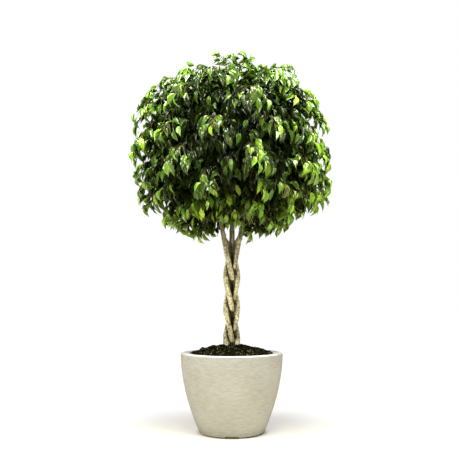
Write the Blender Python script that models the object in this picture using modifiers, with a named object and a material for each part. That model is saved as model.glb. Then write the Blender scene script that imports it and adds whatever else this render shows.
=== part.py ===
"""A weeping fig grown as a standard, its four stems plaited into one trunk, in a wide pale planter.

Metres, +Z up. The origin is the middle of the planter's underside, on the floor, and -Y is the front.
The planter is a turned shell with a broad rim, a rounded foot, drain channels and drain holes.
Soil fills it, with a plain hole for each stem. Each stem is a plant of its own: one strand of the plait,
which grows on as a leader with limbs: three lean out to their own third of the crown, and the fourth
goes straight up to its top. Every limb ends in a leafy spray, a drooping twig with its leaves and side
twigs, which starts face to face with the limb's end.
"""

import math
import random
from collections import namedtuple

import bmesh
import bpy
from mathutils import Matrix, Vector, noise
from mathutils.bvhtree import BVHTree

# Clearance between neighbours, and the distance within which loose caps are welded on
GAP = 0.0003
WELD = 0.00001

# Planter
POT_HEIGHT = 0.310
RIM_RADIUS = 0.1995
BASE_RADIUS = 0.126
WALL_CURVE = 1.9
RIM_WIDTH = 0.037
RIM_DEPTH = 0.024
RIM_SLOPE = 0.012
WALL = 0.015
FLOOR = 0.022
EDGE_ROUND = 0.006
FOOT_ROUND = 0.011
FOOT_TURN = 0.3
TURN_STEPS = 30
WALL_POINTS = 5
CHANNELS = 3
CHANNEL_WIDTH = 0.048
CHANNEL_HEIGHT = 0.0055
CHANNEL_INNER_END = 0.060
DRAIN_RADIUS = 0.009
DRAIN_RING = 0.075
DRAIN_SIDES = 16

# Soil
SOIL_BELOW_RIM = 0.005
SOIL_RISE = 0.034
SOIL_SLOPE = 1.6
SOIL_EDGE = 6
SOIL_LUMP = 0.007
SOIL_LUMP_SIZE = 0.030
SOIL_RINGS = (0.88, 0.68, 0.46, 0.24)

# Plait. Each strand goes from side to side and back once in a period, a quarter of it behind the one before.
STRAND_RADIUS = 0.0087
PLAIT_PERIOD = 0.485
PLAIT_HALF_WIDTH = 0.0212
PLAIT_SWAY = 0.0024
PLAIT_SIDE_DEPTH = 0.0190
PLAIT_MIDDLE_DEPTH = 0.0105
PLAIT_LEFT = 0.6085
PLAIT_ORDER = (1, 0, 3, 2)
PLAIT_FOOT = 0.324
PLAIT_TOP = 0.705
PLAIT_STEPS = 17
STEM_SIDES = 7
BURIED_FOOT = 0.225
FOOT_SPREAD = 0.014
FOOT_FLARE = 0.0012
HOLE_SIDES = 8

# Leaders and limbs. A leader is its azimuth in degrees and its way points, each one a height and a distance
# from the trunk's middle. The last one is the middle leader.
OUTER_WAY = ((0.805, 0.046), (0.935, 0.078), (1.085, 0.098), (1.235, 0.085))
MIDDLE_WAY = ((0.805, 0.004), (0.935, 0.008), (1.085, 0.008), (1.235, 0.004))
LEADERS = ((210.0, OUTER_WAY), (90.0, OUTER_WAY), (330.0, OUTER_WAY), (30.0, MIDDLE_WAY))
STEMS = len(LEADERS)
LEADER_STEPS = 2
LEADER_TIP_RADIUS = 0.0045
TAPER = 0.8
LIMB_ROOT_RADIUS = 0.0046
LIMB_ROOT_SHARE = 0.6
LIMB_TIP_RADIUS = 0.0029
LIMB_STEPS = 2
LIMB_SIDES = 4
LIMB_FALL = 0.60
LIMB_BEND = 0.45

# Sprays, tier by tier from the top: how many to a third of the crown, where a spray starts (distance from
# the middle and height), its pitch at the start and at the tip in degrees, its length, and how far the tier
# is turned. The first tier stands on the middle leader.
Tier = namedtuple("Tier", "count distance height first_pitch last_pitch length turn")
TIERS = (
    Tier(1, 0.026, 1.318, 84.0, -2.0, 0.185, -14.0),
    Tier(2, 0.118, 1.290, 50.0, -48.0, 0.215, 14.0),
    Tier(3, 0.180, 1.222, 36.0, -60.0, 0.230, -9.5),
    Tier(4, 0.210, 1.130, 24.0, -66.0, 0.225, 7.0),
    Tier(3, 0.215, 1.040, 14.0, -70.0, 0.220, -9.5),
    Tier(3, 0.210, 0.955, 4.0, -72.0, 0.200, 9.5),
    Tier(1, 0.105, 0.905, -8.0, -74.0, 0.175, 60.0),
)
SECTOR_SPREAD = 114.0
SEAT_LOOSE = 0.022
AZIMUTH_LOOSE = 3.0
PITCH_LOOSE = 6.0
LENGTH_LOOSE = 0.07
SEAT_RUN = 0.012
TWIG_ROOT_RADIUS = 0.0026
TWIG_TIP_RADIUS = 0.0012
TWIG_STEPS = 4
TWIG_SIDES = 4

# Leaves. A leaf stands on a short stalk, or hangs at the end of a side twig.
LEAF_LENGTH = 0.062
LEAF_WIDTH = 0.027
LEAF_WIDEST = 0.36
LEAF_SHOULDER = 0.70
SHOULDER_WIDTH = 0.66
LEAF_KEEL = 0.0017
LEAF_ARCH = 0.14
STALK_LENGTH = 0.009
STALK_WIDTH = 0.0018
STALK_KEEL = 0.0013
ROOT_SUNK = 0.0005
TIP_SIDE = 0.25
STALK_SPREAD = 0.9
LEAF_SIDEWAYS = 0.40
LEAF_FORWARD = 0.45
LEAF_DOWN = 0.80
LEAF_FACE_UP = 0.5
LEAF_FACE_LOOSE = 0.5
SIZE_LOOSE = 0.12
FIRST_LOOSE = 0.10
MORE_LOOSE = 0.05
LEAF_CLEARANCE = 0.0009
STALK_LEAVES = (0.38, 0.60, 0.82)
SIDE_TWIGS = ((0.20, 0.060), (0.36, 0.055), (0.53, 0.047), (0.71, 0.036))
LEAF_TRIES = 14
SEED = 994

SOIL_TOP = POT_HEIGHT - SOIL_BELOW_RIM
HOLE_TOP = SOIL_TOP + 2 * SOIL_RISE

COLOURS = {
    "planter": ((0.60, 0.56, 0.43), 0.85),
    "soil": ((0.020, 0.018, 0.010), 0.95),
    "bark": ((0.36, 0.31, 0.17), 0.85),
    "leaf": ((0.060, 0.140, 0.018), 0.35),
}


def start_empty():
    """Remove the scene's objects and return the collections for the parts and the cutters."""
    for obj in list(bpy.data.objects):
        bpy.data.objects.remove(obj)
    made = []
    for name in ("weeping_fig", "cutters"):
        collection = bpy.data.collections.new(name)
        bpy.context.scene.collection.children.link(collection)
        made.append(collection)
    return made


def material(name):
    """The part's plain material of that name."""
    found = bpy.data.materials.get(name)
    if found:
        return found
    colour, roughness = COLOURS[name]
    made = bpy.data.materials.new(name)
    made.use_nodes = True
    shader = made.node_tree.nodes["Principled BSDF"]
    shader.inputs["Base Color"].default_value = (*colour, 1.0)
    shader.inputs["Roughness"].default_value = roughness
    shader.inputs["Metallic"].default_value = 0.0
    return made


def mesh_object(name, mesh, collection, finish=None):
    """Link a mesh as an object, with its finish."""
    obj = bpy.data.objects.new(name, mesh)
    collection.objects.link(obj)
    if finish:
        mesh.materials.clear()
        mesh.materials.append(material(finish))
    return obj


def evaluated_copy(obj, name, collection, finish=None, weld=0.0):
    """A plain mesh of obj with its modifiers applied, and loose caps welded on. obj is removed."""
    graph = bpy.context.evaluated_depsgraph_get()
    mesh = bpy.data.meshes.new_from_object(obj.evaluated_get(graph))
    if weld:
        shape = bmesh.new()
        shape.from_mesh(mesh)
        bmesh.ops.remove_doubles(shape, verts=shape.verts, dist=weld)
        shape.to_mesh(mesh)
        shape.free()
    place = obj.matrix_world.copy()
    bpy.data.objects.remove(obj)
    made = mesh_object(name, mesh, collection, finish)
    made.matrix_world = place
    return made


def turned(name, profile, collection, finish=None):
    """A solid of revolution. The profile starts on the axis inside, and ends on it underneath."""
    mesh = bpy.data.meshes.new(name)
    points = [(radius, 0.0, height) for radius, height in profile]
    mesh.from_pydata(points, [(i, i + 1) for i in range(len(points) - 1)], [])
    obj = mesh_object(name, mesh, collection, finish)
    screw = obj.modifiers.new("turn", "SCREW")
    screw.axis = "Z"
    screw.angle = math.tau
    screw.steps = screw.render_steps = TURN_STEPS
    screw.use_merge_vertices = True
    screw.merge_threshold = WELD
    return obj


def tube(name, points, radii, sides, collection):
    """A round tube along the points, as a plain mesh with flat ends."""
    curve = bpy.data.curves.new(name, "CURVE")
    curve.dimensions = "3D"
    curve.bevel_depth = 1.0
    curve.bevel_resolution = (sides - 4) // 2
    curve.use_fill_caps = True
    spline = curve.splines.new("POLY")
    spline.points.add(len(points) - 1)
    for point, place, radius in zip(spline.points, points, radii):
        point.co = (*place, 1.0)
        point.radius = radius
    obj = bpy.data.objects.new(name, curve)
    collection.objects.link(obj)
    return evaluated_copy(obj, name, collection, weld=WELD)


def union(base, joined, collection, finish):
    """Fuse the joined objects into base, and remove them."""
    name = base.name
    base.name = name + "_bare"
    helpers = bpy.data.collections.new("joined")
    bpy.context.scene.collection.children.link(helpers)
    for obj in joined:
        collection.objects.unlink(obj)
        helpers.objects.link(obj)
    join = base.modifiers.new("join", "BOOLEAN")
    join.operation = "UNION"
    join.operand_type = "COLLECTION"
    join.collection = helpers
    join.solver = "MANIFOLD"
    made = evaluated_copy(base, name, collection, finish)
    for obj in joined:
        bpy.data.objects.remove(obj)
    bpy.data.collections.remove(helpers)
    return made


def cut(obj, cutter):
    """Cut one object out of another, and hide the cutter."""
    cutter.hide_render = True
    cutter.display_type = "WIRE"
    modifier = obj.modifiers.new("cut_" + cutter.name, "BOOLEAN")
    modifier.operation = "DIFFERENCE"
    modifier.object = cutter
    modifier.solver = "EXACT"


def wall_radius(height):
    """The planter's outer radius at a height: a curve that draws in towards the floor."""
    below = 1 - height / POT_HEIGHT
    return RIM_RADIUS - (RIM_RADIUS - BASE_RADIUS) * below**WALL_CURVE


def spaced(start, end, count):
    """Evenly spaced values, both ends included."""
    return [start + (end - start) * i / (count - 1) for i in range(count)]


def rounded_corner(radius, height, start):
    """Points of a quarter turn about a middle, from start degrees, clockwise."""
    return [
        (
            radius + EDGE_ROUND * math.cos(math.radians(start - turn)),
            height + EDGE_ROUND * math.sin(math.radians(start - turn)),
        )
        for turn in (0, 45, 90)
    ]


def inside_profile(inset):
    """The planter's inner outline from the floor's middle up to the lip's mouth, drawn in by inset."""
    lip_radius = RIM_RADIUS - RIM_WIDTH
    under_lip = POT_HEIGHT - RIM_DEPTH
    wall_top = under_lip - RIM_SLOPE
    wall = [
        (wall_radius(z) - WALL - inset, z)
        for z in spaced(FLOOR + inset, wall_top - inset, WALL_POINTS - 2)
    ]
    return [(0.0, FLOOR + inset), *wall, (lip_radius - inset, under_lip - inset)]


def planter(parts, cutters):
    """The turned shell, with its foot cut by channels that lead out from the drain holes."""
    lip_radius = RIM_RADIUS - RIM_WIDTH
    round_height = POT_HEIGHT - EDGE_ROUND
    foot_radius = wall_radius(FOOT_ROUND)
    outer = [(wall_radius(z), z) for z in spaced(round_height, FOOT_ROUND, WALL_POINTS)]
    profile = [
        *inside_profile(0.0),
        *rounded_corner(lip_radius + EDGE_ROUND, round_height, 180),
        *rounded_corner(wall_radius(round_height) - EDGE_ROUND, round_height, 90)[:-1],
        *outer,
        (foot_radius - FOOT_ROUND * FOOT_TURN, FOOT_ROUND * FOOT_TURN),
        (foot_radius - FOOT_ROUND, 0.0),
        (0.0, 0.0),
    ]
    pot = turned("planter", profile, parts, "planter")
    for number in range(CHANNELS):
        angle = math.tau * number / CHANNELS - math.tau / 4
        outward = Vector((math.cos(angle), math.sin(angle), 0.0))
        run = RIM_RADIUS - CHANNEL_INNER_END
        place = outward * (CHANNEL_INNER_END + run / 2)
        bpy.ops.mesh.primitive_cube_add(size=1.0, location=place, rotation=(0, 0, angle))
        channel = bpy.context.object
        channel.name = f"channel_{number + 1}"
        channel.scale = (run, CHANNEL_WIDTH, 2 * CHANNEL_HEIGHT)
        bpy.ops.mesh.primitive_cylinder_add(
            vertices=DRAIN_SIDES, radius=DRAIN_RADIUS, depth=4 * FLOOR, location=outward * DRAIN_RING
        )
        drain = bpy.context.object
        drain.name = f"drain_{number + 1}"
        for cutter in (channel, drain):
            for collection in list(cutter.users_collection):
                collection.objects.unlink(cutter)
            cutters.objects.link(cutter)
            cut(pot, cutter)
    return pot


def soil_height(x, y):
    """The height of the mounded soil, lumps included, at a place in the planter."""
    mouth = RIM_RADIUS - RIM_WIDTH
    share = min(1.0, math.hypot(x, y) / mouth)
    lump = SOIL_LUMP * noise.noise(Vector((x, y, 0.0)) / SOIL_LUMP_SIZE)
    return SOIL_TOP + SOIL_RISE * (1 - share**SOIL_SLOPE) + lump * (1 - share**SOIL_EDGE)


def soil(parts, cutters, stems):
    """The soil fills the planter to a lumpy mound, with a plain hole for each stem."""
    mouth = RIM_RADIUS - RIM_WIDTH - GAP
    bottom_up = inside_profile(GAP)
    rings = [(mouth * share, SOIL_TOP) for share in SOIL_RINGS]
    profile = [(0.0, SOIL_TOP), *reversed(rings), (mouth, SOIL_TOP), *reversed(bottom_up)]
    body = evaluated_copy(turned("soil_turned", profile, parts), "soil", parts, "soil")
    for vertex in body.data.vertices:
        x, y, z = vertex.co
        if z > SOIL_TOP - GAP and math.hypot(x, y) < mouth - GAP:
            vertex.co.z = soil_height(x, y)
    across = math.cos(math.pi / HOLE_SIDES)
    for number, path in enumerate(stems):
        low = (path[0] - path[1]).normalized() * GAP
        buried = [path[0] + low, *(point for point in path[1:] if point.z < HOLE_TOP)]
        radii = [(stem_radius(point.z) + GAP) / across for point in buried]
        cut(body, tube(f"stem_hole_{number + 1}", buried, radii, HOLE_SIDES, cutters))
    return body


def plait_turn(strand, height):
    """How far round its course a strand of the plait is at a height, from its place at the left."""
    return math.tau * ((PLAIT_LEFT - height) / PLAIT_PERIOD + PLAIT_ORDER[strand] / STEMS)


def plait_point(strand, height):
    """Where a strand of the plait is at a height."""
    turn = plait_turn(strand, height)
    across = -PLAIT_HALF_WIDTH * math.cos(turn) - PLAIT_SWAY * math.cos(3 * turn)
    depth = -PLAIT_SIDE_DEPTH * math.sin(2 * turn) - PLAIT_MIDDLE_DEPTH * math.sin(turn)
    return Vector((across, depth, height))


def round_point(azimuth, radius, height):
    """A point at that many degrees round the trunk's middle."""
    angle = math.radians(azimuth)
    return Vector((radius * math.cos(angle), radius * math.sin(angle), height))


def smooth_path(points, steps):
    """Points on a Catmull-Rom curve from the second point to the last."""
    ends = [*points, 2 * points[-1] - points[-2]]
    path = []
    for a, b, c, d in zip(ends, ends[1:], ends[2:], ends[3:]):
        for i in range(steps):
            t = i / steps
            path.append(
                0.5 * (2 * b + (c - a) * t + (2 * a - 5 * b + 4 * c - d) * t**2)
                + 0.5 * (3 * b - a - 3 * c + d) * t**3
            )
    return [*path, points[-1]]


def stem_path(strand):
    """The whole way of a stem: its foot in the soil, its strand of the plait, then its leader."""
    plait = [plait_point(strand, z) for z in spaced(PLAIT_FOOT, PLAIT_TOP, PLAIT_STEPS + 1)]
    outward = Vector((plait[0].x, plait[0].y, 0.0)).normalized()
    foot = plait[0] + outward * FOOT_SPREAD
    foot.z = BURIED_FOOT
    azimuth, leader = LEADERS[strand]
    way = [round_point(azimuth, radius, height) for height, radius in leader]
    return [foot, *plait[:-1], *smooth_path([plait[-2], plait[-1], *way], LEADER_STEPS)]


def stem_radius(height):
    """A stem's radius at a height: flared in the soil, even in the plait, then tapering to its tip."""
    buried = max(0.0, (PLAIT_FOOT - height) / (PLAIT_FOOT - BURIED_FOOT))
    share = max(0.0, (height - PLAIT_TOP) / (OUTER_WAY[-1][0] - PLAIT_TOP))
    radius = STRAND_RADIUS + FOOT_FLARE * buried
    return radius + (LEADER_TIP_RADIUS - radius) * share**TAPER


def point_at_height(path, height):
    """Where a path that rises all the way passes a height."""
    for low, high in zip(path, path[1:]):
        if low.z <= height <= high.z:
            return low.lerp(high, (height - low.z) / (high.z - low.z))
    return path[-1].copy()


def pitched(azimuth, pitch):
    """The direction with that azimuth and that pitch above the horizon, in degrees."""
    return round_point(azimuth, math.cos(math.radians(pitch)), math.sin(math.radians(pitch)))


class Seat:
    """Where a spray starts, and its habit: its turn, its pitches and its length."""

    def __init__(self, number, stem, azimuth, tier):
        """Vary the tier's habit a little, by a draw of the spray's own."""
        self.draw = random.Random(SEED + number)
        self.number = number
        self.stem = stem
        self.azimuth = azimuth
        self.height = tier.height + self.draw.uniform(-SEAT_LOOSE, SEAT_LOOSE)
        self.distance = tier.distance - self.draw.uniform(0.0, SEAT_LOOSE)
        self.turned = azimuth + self.draw.uniform(-AZIMUTH_LOOSE, AZIMUTH_LOOSE)
        self.first_pitch = tier.first_pitch
        self.last_pitch = tier.last_pitch + self.draw.uniform(-PITCH_LOOSE, PITCH_LOOSE)
        self.length = tier.length * (1 + self.draw.uniform(-LENGTH_LOOSE, LENGTH_LOOSE))


def spray_seats():
    """The seats of all sprays, evenly round each outer stem's own third of the crown."""
    seats = []
    for third, (azimuth, _) in enumerate(LEADERS[:-1]):
        for tier in TIERS:
            stem = STEMS - 1 if tier is TIERS[0] else third
            for place in range(tier.count):
                offset = tier.turn + SECTOR_SPREAD * ((place + 0.5) / tier.count - 0.5)
                seats.append(Seat(len(seats) + 1, stem, azimuth + offset, tier))
    return seats


def limb_path(leader, seat):
    """A limb from its leader to the seat of its spray, turning to the spray's first direction."""
    end = round_point(seat.azimuth, seat.distance, seat.height)
    root_height = max(seat.height - LIMB_FALL * seat.distance, PLAIT_TOP + 3 * STRAND_RADIUS)
    root = point_at_height(leader, root_height)
    bend = end - pitched(seat.azimuth, seat.first_pitch) * (end - root).length * LIMB_BEND
    path = []
    for t in spaced(0.0, 1.0, LIMB_STEPS + 1):
        path.append(root * (1 - t) ** 2 + bend * 2 * t * (1 - t) + end * t**2)
    return path


def twig_path(seat, start, heading):
    """A spray's twig: straight off its seat, then arching over from the first pitch to the last."""
    path = [start, start + heading * SEAT_RUN]
    step = (seat.length - SEAT_RUN) / TWIG_STEPS
    for i in range(TWIG_STEPS):
        share = (i + 0.5) / TWIG_STEPS
        pitch = seat.first_pitch + (seat.last_pitch - seat.first_pitch) * share
        path.append(path[-1] + pitched(seat.turned, pitch) * step)
    return path


def along(path, share):
    """The point and the direction at a share of a path's length."""
    lengths = [(b - a).length for a, b in zip(path, path[1:])]
    left = share * sum(lengths)
    for a, b, length in zip(path, path[1:], lengths):
        if left <= length:
            return a.lerp(b, left / length), (b - a).normalized()
        left -= length
    return path[-1], (path[-1] - path[-2]).normalized()


def facing(direction, face):
    """The turn that lays X along a direction, with Z as near to face as it can be."""
    x = direction.normalized()
    z = (face - x * face.dot(x)).normalized()
    return Matrix((x, z.cross(x), z)).transposed()


def leaf_points(root, stalk, direction, face, length, width):
    """A leaf's corners: its root, the stalk's end, the widest place, the shoulder and the tip."""
    end = root + stalk
    narrow = facing(stalk + direction * stalk.length, face)
    turn = facing(direction, face)
    points = [root]
    for y, z in ((0.5, 0.0), (-0.5, 0.0), (0.0, -1.0)):
        points.append(end + narrow @ Vector((0.0, y * STALK_WIDTH, z * STALK_KEEL)))
    for share, wide in ((LEAF_WIDEST, 1.0), (LEAF_SHOULDER, SHOULDER_WIDTH)):
        fall = -LEAF_ARCH * length * share**2
        points.append(end + turn @ Vector((length * share, width * wide / 2, fall)))
        points.append(end + turn @ Vector((length * share, -width * wide / 2, fall)))
    fall = -LEAF_ARCH * length * LEAF_WIDEST**2 - LEAF_KEEL
    points.append(end + turn @ Vector((length * LEAF_WIDEST, 0.0, fall)))
    points.append(end + turn @ Vector((length, 0.0, -LEAF_ARCH * length)))
    return points


def leaf_faces():
    """The leaf's triangles: a flat upper side and a keeled lower side that meet at the edges."""
    root, left, right, keel, wide_left, wide_right, late_left, late_right, wide_keel, tip = range(10)
    return [
        (root, right, left),
        (root, left, keel),
        (root, keel, right),
        (left, wide_right, wide_left),
        (left, right, wide_right),
        (keel, wide_left, wide_keel),
        (keel, left, wide_left),
        (right, wide_keel, wide_right),
        (right, keel, wide_keel),
        (wide_left, late_right, late_left),
        (wide_left, wide_right, late_right),
        (wide_keel, late_left, tip),
        (wide_keel, wide_left, late_left),
        (wide_right, tip, late_right),
        (wide_right, wide_keel, tip),
        (late_left, late_right, tip),
    ]


class Thicket:
    """What has grown so far, so that a new twig or leaf can be bent clear of it."""

    def __init__(self):
        """Start with nothing grown."""
        self.grown = []

    def add(self, points, faces, spray=None):
        """Note a closed shape, and the spray that it belongs to."""
        tree = BVHTree.FromPolygons(points, faces)
        low = Vector([min(p[k] for p in points) for k in range(3)])
        high = Vector([max(p[k] for p in points) for k in range(3)])
        self.grown.append((tree, low, high, spray))

    def add_object(self, obj, spray=None):
        """Note an object's mesh."""
        points = [obj.matrix_world @ v.co for v in obj.data.vertices]
        self.add(points, [tuple(p.vertices) for p in obj.data.polygons], spray)

    def is_clear(self, points, faces, leave_out=None):
        """Whether a shape crosses nothing that is noted, apart from one spray."""
        tree = BVHTree.FromPolygons(points, faces)
        low = Vector([min(p[k] for p in points) for k in range(3)])
        high = Vector([max(p[k] for p in points) for k in range(3)])
        for other, other_low, other_high, spray in self.grown:
            if spray is not None and spray == leave_out:
                continue
            if any(low[k] > other_high[k] or high[k] < other_low[k] for k in range(3)):
                continue
            if tree.overlap(other):
                return False
        return True


class Spray:
    """One leafy spray: a drooping twig, and the leaves that stand on it or at its side twigs' ends."""

    def __init__(self, seat, limb, parts):
        """Grow the twig off its limb's end."""
        heading = (limb[-1] - limb[-2]).normalized()
        self.seat = seat
        self.path = twig_path(seat, limb[-1] + heading * GAP, heading)
        radii = spaced(TWIG_ROOT_RADIUS, TWIG_TIP_RADIUS, len(self.path))
        self.twig = tube(f"spray_{seat.number:02d}", self.path, radii, TWIG_SIDES, parts)
        self.leaves = []

    def leaf_seats(self):
        """Each leaf's root, the twig's direction there, its side, and the length that it stands off."""
        seats = []
        for i, share in enumerate(STALK_LEAVES):
            seats.append((*along(self.path, share), 1 if i % 2 else -1, STALK_LENGTH))
        for i, (share, length) in enumerate(SIDE_TWIGS):
            seats.append((*along(self.path, share), -1 if i % 2 else 1, length))
        heading = (self.path[-1] - self.path[-2]).normalized()
        seats.append((self.path[-1] - heading * STALK_LENGTH / 3, heading, TIP_SIDE, STALK_LENGTH))
        return seats

    def drawn_leaf(self, root, heading, side, reach, loose):
        """A leaf's corners, hanging forwards and to its side, as loosely as the draw may go."""
        draw = self.seat.draw
        up = Vector((0.0, 0.0, 1.0))
        sideways = heading.cross(up).normalized()
        outward = Vector((root.x, root.y, 0.0)).normalized()
        stalk = heading + sideways * side * (STALK_SPREAD + draw.uniform(-loose, loose))
        stalk = stalk.normalized() * reach
        direction = sideways * (LEAF_SIDEWAYS * side + draw.uniform(-loose, loose))
        direction += heading * (LEAF_FORWARD + draw.uniform(-loose, loose))
        direction -= up * (LEAF_DOWN + draw.uniform(-loose, loose / 2))
        face = outward + up * LEAF_FACE_UP + sideways * draw.uniform(-LEAF_FACE_LOOSE, LEAF_FACE_LOOSE)
        length = LEAF_LENGTH * (1 + draw.uniform(-SIZE_LOOSE, SIZE_LOOSE))
        width = LEAF_WIDTH * (1 + draw.uniform(-SIZE_LOOSE, SIZE_LOOSE))
        sunk = root - stalk.normalized() * ROOT_SUNK
        return leaf_points(sunk, stalk, direction, face, length, width)

    def grow_leaves(self, thicket, parts):
        """Hang the leaves, each one turned until it crosses nothing, or left out if it can't."""
        faces = leaf_faces()
        for leaf_seat in self.leaf_seats():
            for attempt in range(LEAF_TRIES):
                points = self.drawn_leaf(*leaf_seat, FIRST_LOOSE + MORE_LOOSE * attempt)
                if self.leaf_is_clear(points, faces, thicket):
                    mesh = bpy.data.meshes.new("leaf")
                    mesh.from_pydata(points, [], faces)
                    self.leaves.append(mesh_object("leaf", mesh, parts))
                    break

    def leaf_is_clear(self, points, faces, thicket):
        """Whether a leaf keeps its clearance from all but its own twig, and if so note it."""
        off_twig = (points[1] - points[0]).normalized() * STALK_LENGTH / 2
        tested = [points[0] + off_twig, *points[1:]]
        shift = (points[4] - points[1]).cross(points[5] - points[1]).normalized() * LEAF_CLEARANCE
        for offset in (shift * 0, shift, -shift):
            if not thicket.is_clear([point + offset for point in tested], faces):
                return False
        if not thicket.is_clear(points, faces, self.seat.number):
            return False
        thicket.add(tested, faces)
        return True

    def fused(self, parts):
        """Join the twig and the leaves into one solid."""
        return union(self.twig, self.leaves, parts, "leaf")


def grow_wood(paths, limbs, parts):
    """The woody stems, each one fused with its limbs."""
    grown = [[] for _ in paths]
    for seat, path in limbs:
        root = min(LIMB_ROOT_RADIUS, LIMB_ROOT_SHARE * stem_radius(path[0].z))
        radii = spaced(root, LIMB_TIP_RADIUS, len(path))
        grown[seat.stem].append(tube("limb", path, radii, LIMB_SIDES, parts))
    wood = []
    for stem, path in enumerate(paths):
        radii = [stem_radius(point.z) for point in path]
        trunk = tube(f"stem_{stem + 1}", path, radii, STEM_SIDES, parts)
        wood.append(union(trunk, grown[stem], parts, "bark"))
    return wood


def main():
    """Build the planter, the soil, the stems and the sprays."""
    parts, cutters = start_empty()
    paths = [stem_path(strand) for strand in range(STEMS)]
    planter(parts, cutters)
    soil(parts, cutters, paths)
    limbs = [(seat, limb_path(paths[seat.stem], seat)) for seat in spray_seats()]
    thicket = Thicket()
    for obj in grow_wood(paths, limbs, parts):
        thicket.add_object(obj)
    sprays = [Spray(seat, path, parts) for seat, path in limbs]
    for spray in sprays:
        thicket.add_object(spray.twig, spray.seat.number)
    for spray in sprays:
        spray.grow_leaves(thicket, parts)
    for spray in sprays:
        spray.fused(parts)


main()
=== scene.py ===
"""The looks of a weeping fig in its planter: a plaited trunk under a round crown of hanging leaves.

Metres, +Z up, -Y the front. The planter, the soil, the stems and the sprays are each a class that builds its
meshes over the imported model's nodes and dresses them. The way the plant grows is worked out by the same
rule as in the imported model, so each fine piece lies where its node does.
"""

from __future__ import annotations

import logging
import math
import random
from collections.abc import Callable
from dataclasses import dataclass, field
from enum import Enum
from typing import Any

import bmesh
import bpy
import numpy as np
from mathutils import Matrix, Vector, noise

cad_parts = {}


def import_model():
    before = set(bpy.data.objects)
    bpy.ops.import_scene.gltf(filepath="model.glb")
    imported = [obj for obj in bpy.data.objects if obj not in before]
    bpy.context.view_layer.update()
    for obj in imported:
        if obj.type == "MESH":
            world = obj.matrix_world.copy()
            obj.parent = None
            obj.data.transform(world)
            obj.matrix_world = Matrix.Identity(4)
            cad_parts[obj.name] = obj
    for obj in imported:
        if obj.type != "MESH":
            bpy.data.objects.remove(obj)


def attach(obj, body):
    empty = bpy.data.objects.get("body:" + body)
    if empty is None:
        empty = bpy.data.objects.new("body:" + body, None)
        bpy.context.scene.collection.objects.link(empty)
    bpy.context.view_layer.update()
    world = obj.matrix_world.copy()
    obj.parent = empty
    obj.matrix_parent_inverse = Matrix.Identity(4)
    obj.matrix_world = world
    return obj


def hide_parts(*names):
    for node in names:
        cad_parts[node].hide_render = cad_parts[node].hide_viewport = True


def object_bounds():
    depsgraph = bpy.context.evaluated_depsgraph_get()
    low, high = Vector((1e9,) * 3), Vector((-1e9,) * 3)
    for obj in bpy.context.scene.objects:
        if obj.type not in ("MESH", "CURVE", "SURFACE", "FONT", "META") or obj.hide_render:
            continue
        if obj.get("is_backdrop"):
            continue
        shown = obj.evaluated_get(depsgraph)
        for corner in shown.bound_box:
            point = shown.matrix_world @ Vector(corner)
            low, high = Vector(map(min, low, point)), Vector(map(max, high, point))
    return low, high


LOG = logging.getLogger("weeping_fig")
UP = Vector((0.0, 0.0, 1.0))
# Corners closer than this are merged.
MERGE = 0.00001

Object = bpy.types.Object
Node = bpy.types.Node
Socket = bpy.types.NodeSocket
Number = Socket | float
Span = tuple[float, float]
Pairs = tuple[Span, ...]
Place = tuple[float, float, float]
Tint = tuple[int, int, int]
Colour = tuple[float, float, float, float]
Tube = tuple[list[Vector], list[float]]
Paint = tuple[Socket, Socket, dict[str, Any]]


# The way the plant grows


@dataclass(frozen=True)
class Tier:
    """A ring of sprays at one level of the crown, as many in each third of it."""

    count: int
    distance: float
    height: float
    first_pitch: float
    last_pitch: float
    length: float
    turn: float


@dataclass
class Seat:
    """Where a spray starts, and its habit."""

    number: int
    stem: int
    azimuth: float
    height: float
    distance: float
    turned: float
    first_pitch: float
    last_pitch: float
    length: float


def clamped(value: float) -> float:
    """A value held between 0 and 1."""
    return min(1.0, max(0.0, value))


def loose(draw: random.Random, middle: float, spread: float) -> float:
    """A value drawn evenly round a middle one."""
    return middle + draw.uniform(-spread, spread)


def side_of(count: int) -> int:
    """The side that a twig or a leaf leaves on, 1 for odd counts and -1 for even ones."""
    return 1 if count % 2 else -1


def round_point(azimuth: float, radius: float, height: float) -> Vector:
    """A point at that many degrees round the trunk's middle."""
    angle = math.radians(azimuth)
    return Vector((radius * math.cos(angle), radius * math.sin(angle), height))


def pitched(azimuth: float, pitch: float) -> Vector:
    """The direction with that azimuth and that pitch above the horizon, in degrees."""
    return round_point(azimuth, math.cos(math.radians(pitch)), math.sin(math.radians(pitch)))


def spaced(start: float, end: float, count: int) -> list[float]:
    """Evenly spaced values, both ends included."""
    return [start + (end - start) * i / (count - 1) for i in range(count)]


def smooth_path(points: list[Vector], steps: int) -> list[Vector]:
    """Points on a Catmull-Rom curve from the second point to the last.

    Args:
        points: the points to pass, with a guiding one before the start.
        steps: how many steps to take from each point to the next.

    Returns:
        The finer points.
    """
    ends = [*points, 2 * points[-1] - points[-2]]
    path = []
    for a, b, c, d in zip(ends, ends[1:], ends[2:], ends[3:]):
        for i in range(steps):
            t = i / steps
            path.append(
                0.5 * (2 * b + (c - a) * t + (2 * a - 5 * b + 4 * c - d) * t**2)
                + 0.5 * (3 * b - a - 3 * c + d) * t**3
            )
    return [*path, points[-1]]


def point_at_height(path: list[Vector], height: float) -> Vector:
    """Find where a path that rises all the way passes a height.

    Args:
        path: the points of the path.
        height: the height.

    Returns:
        The point, or the path's end where it stays below.
    """
    for low, high in zip(path, path[1:]):
        if low.z <= height <= high.z:
            return low.lerp(high, (height - low.z) / (high.z - low.z))
    return path[-1].copy()


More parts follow.
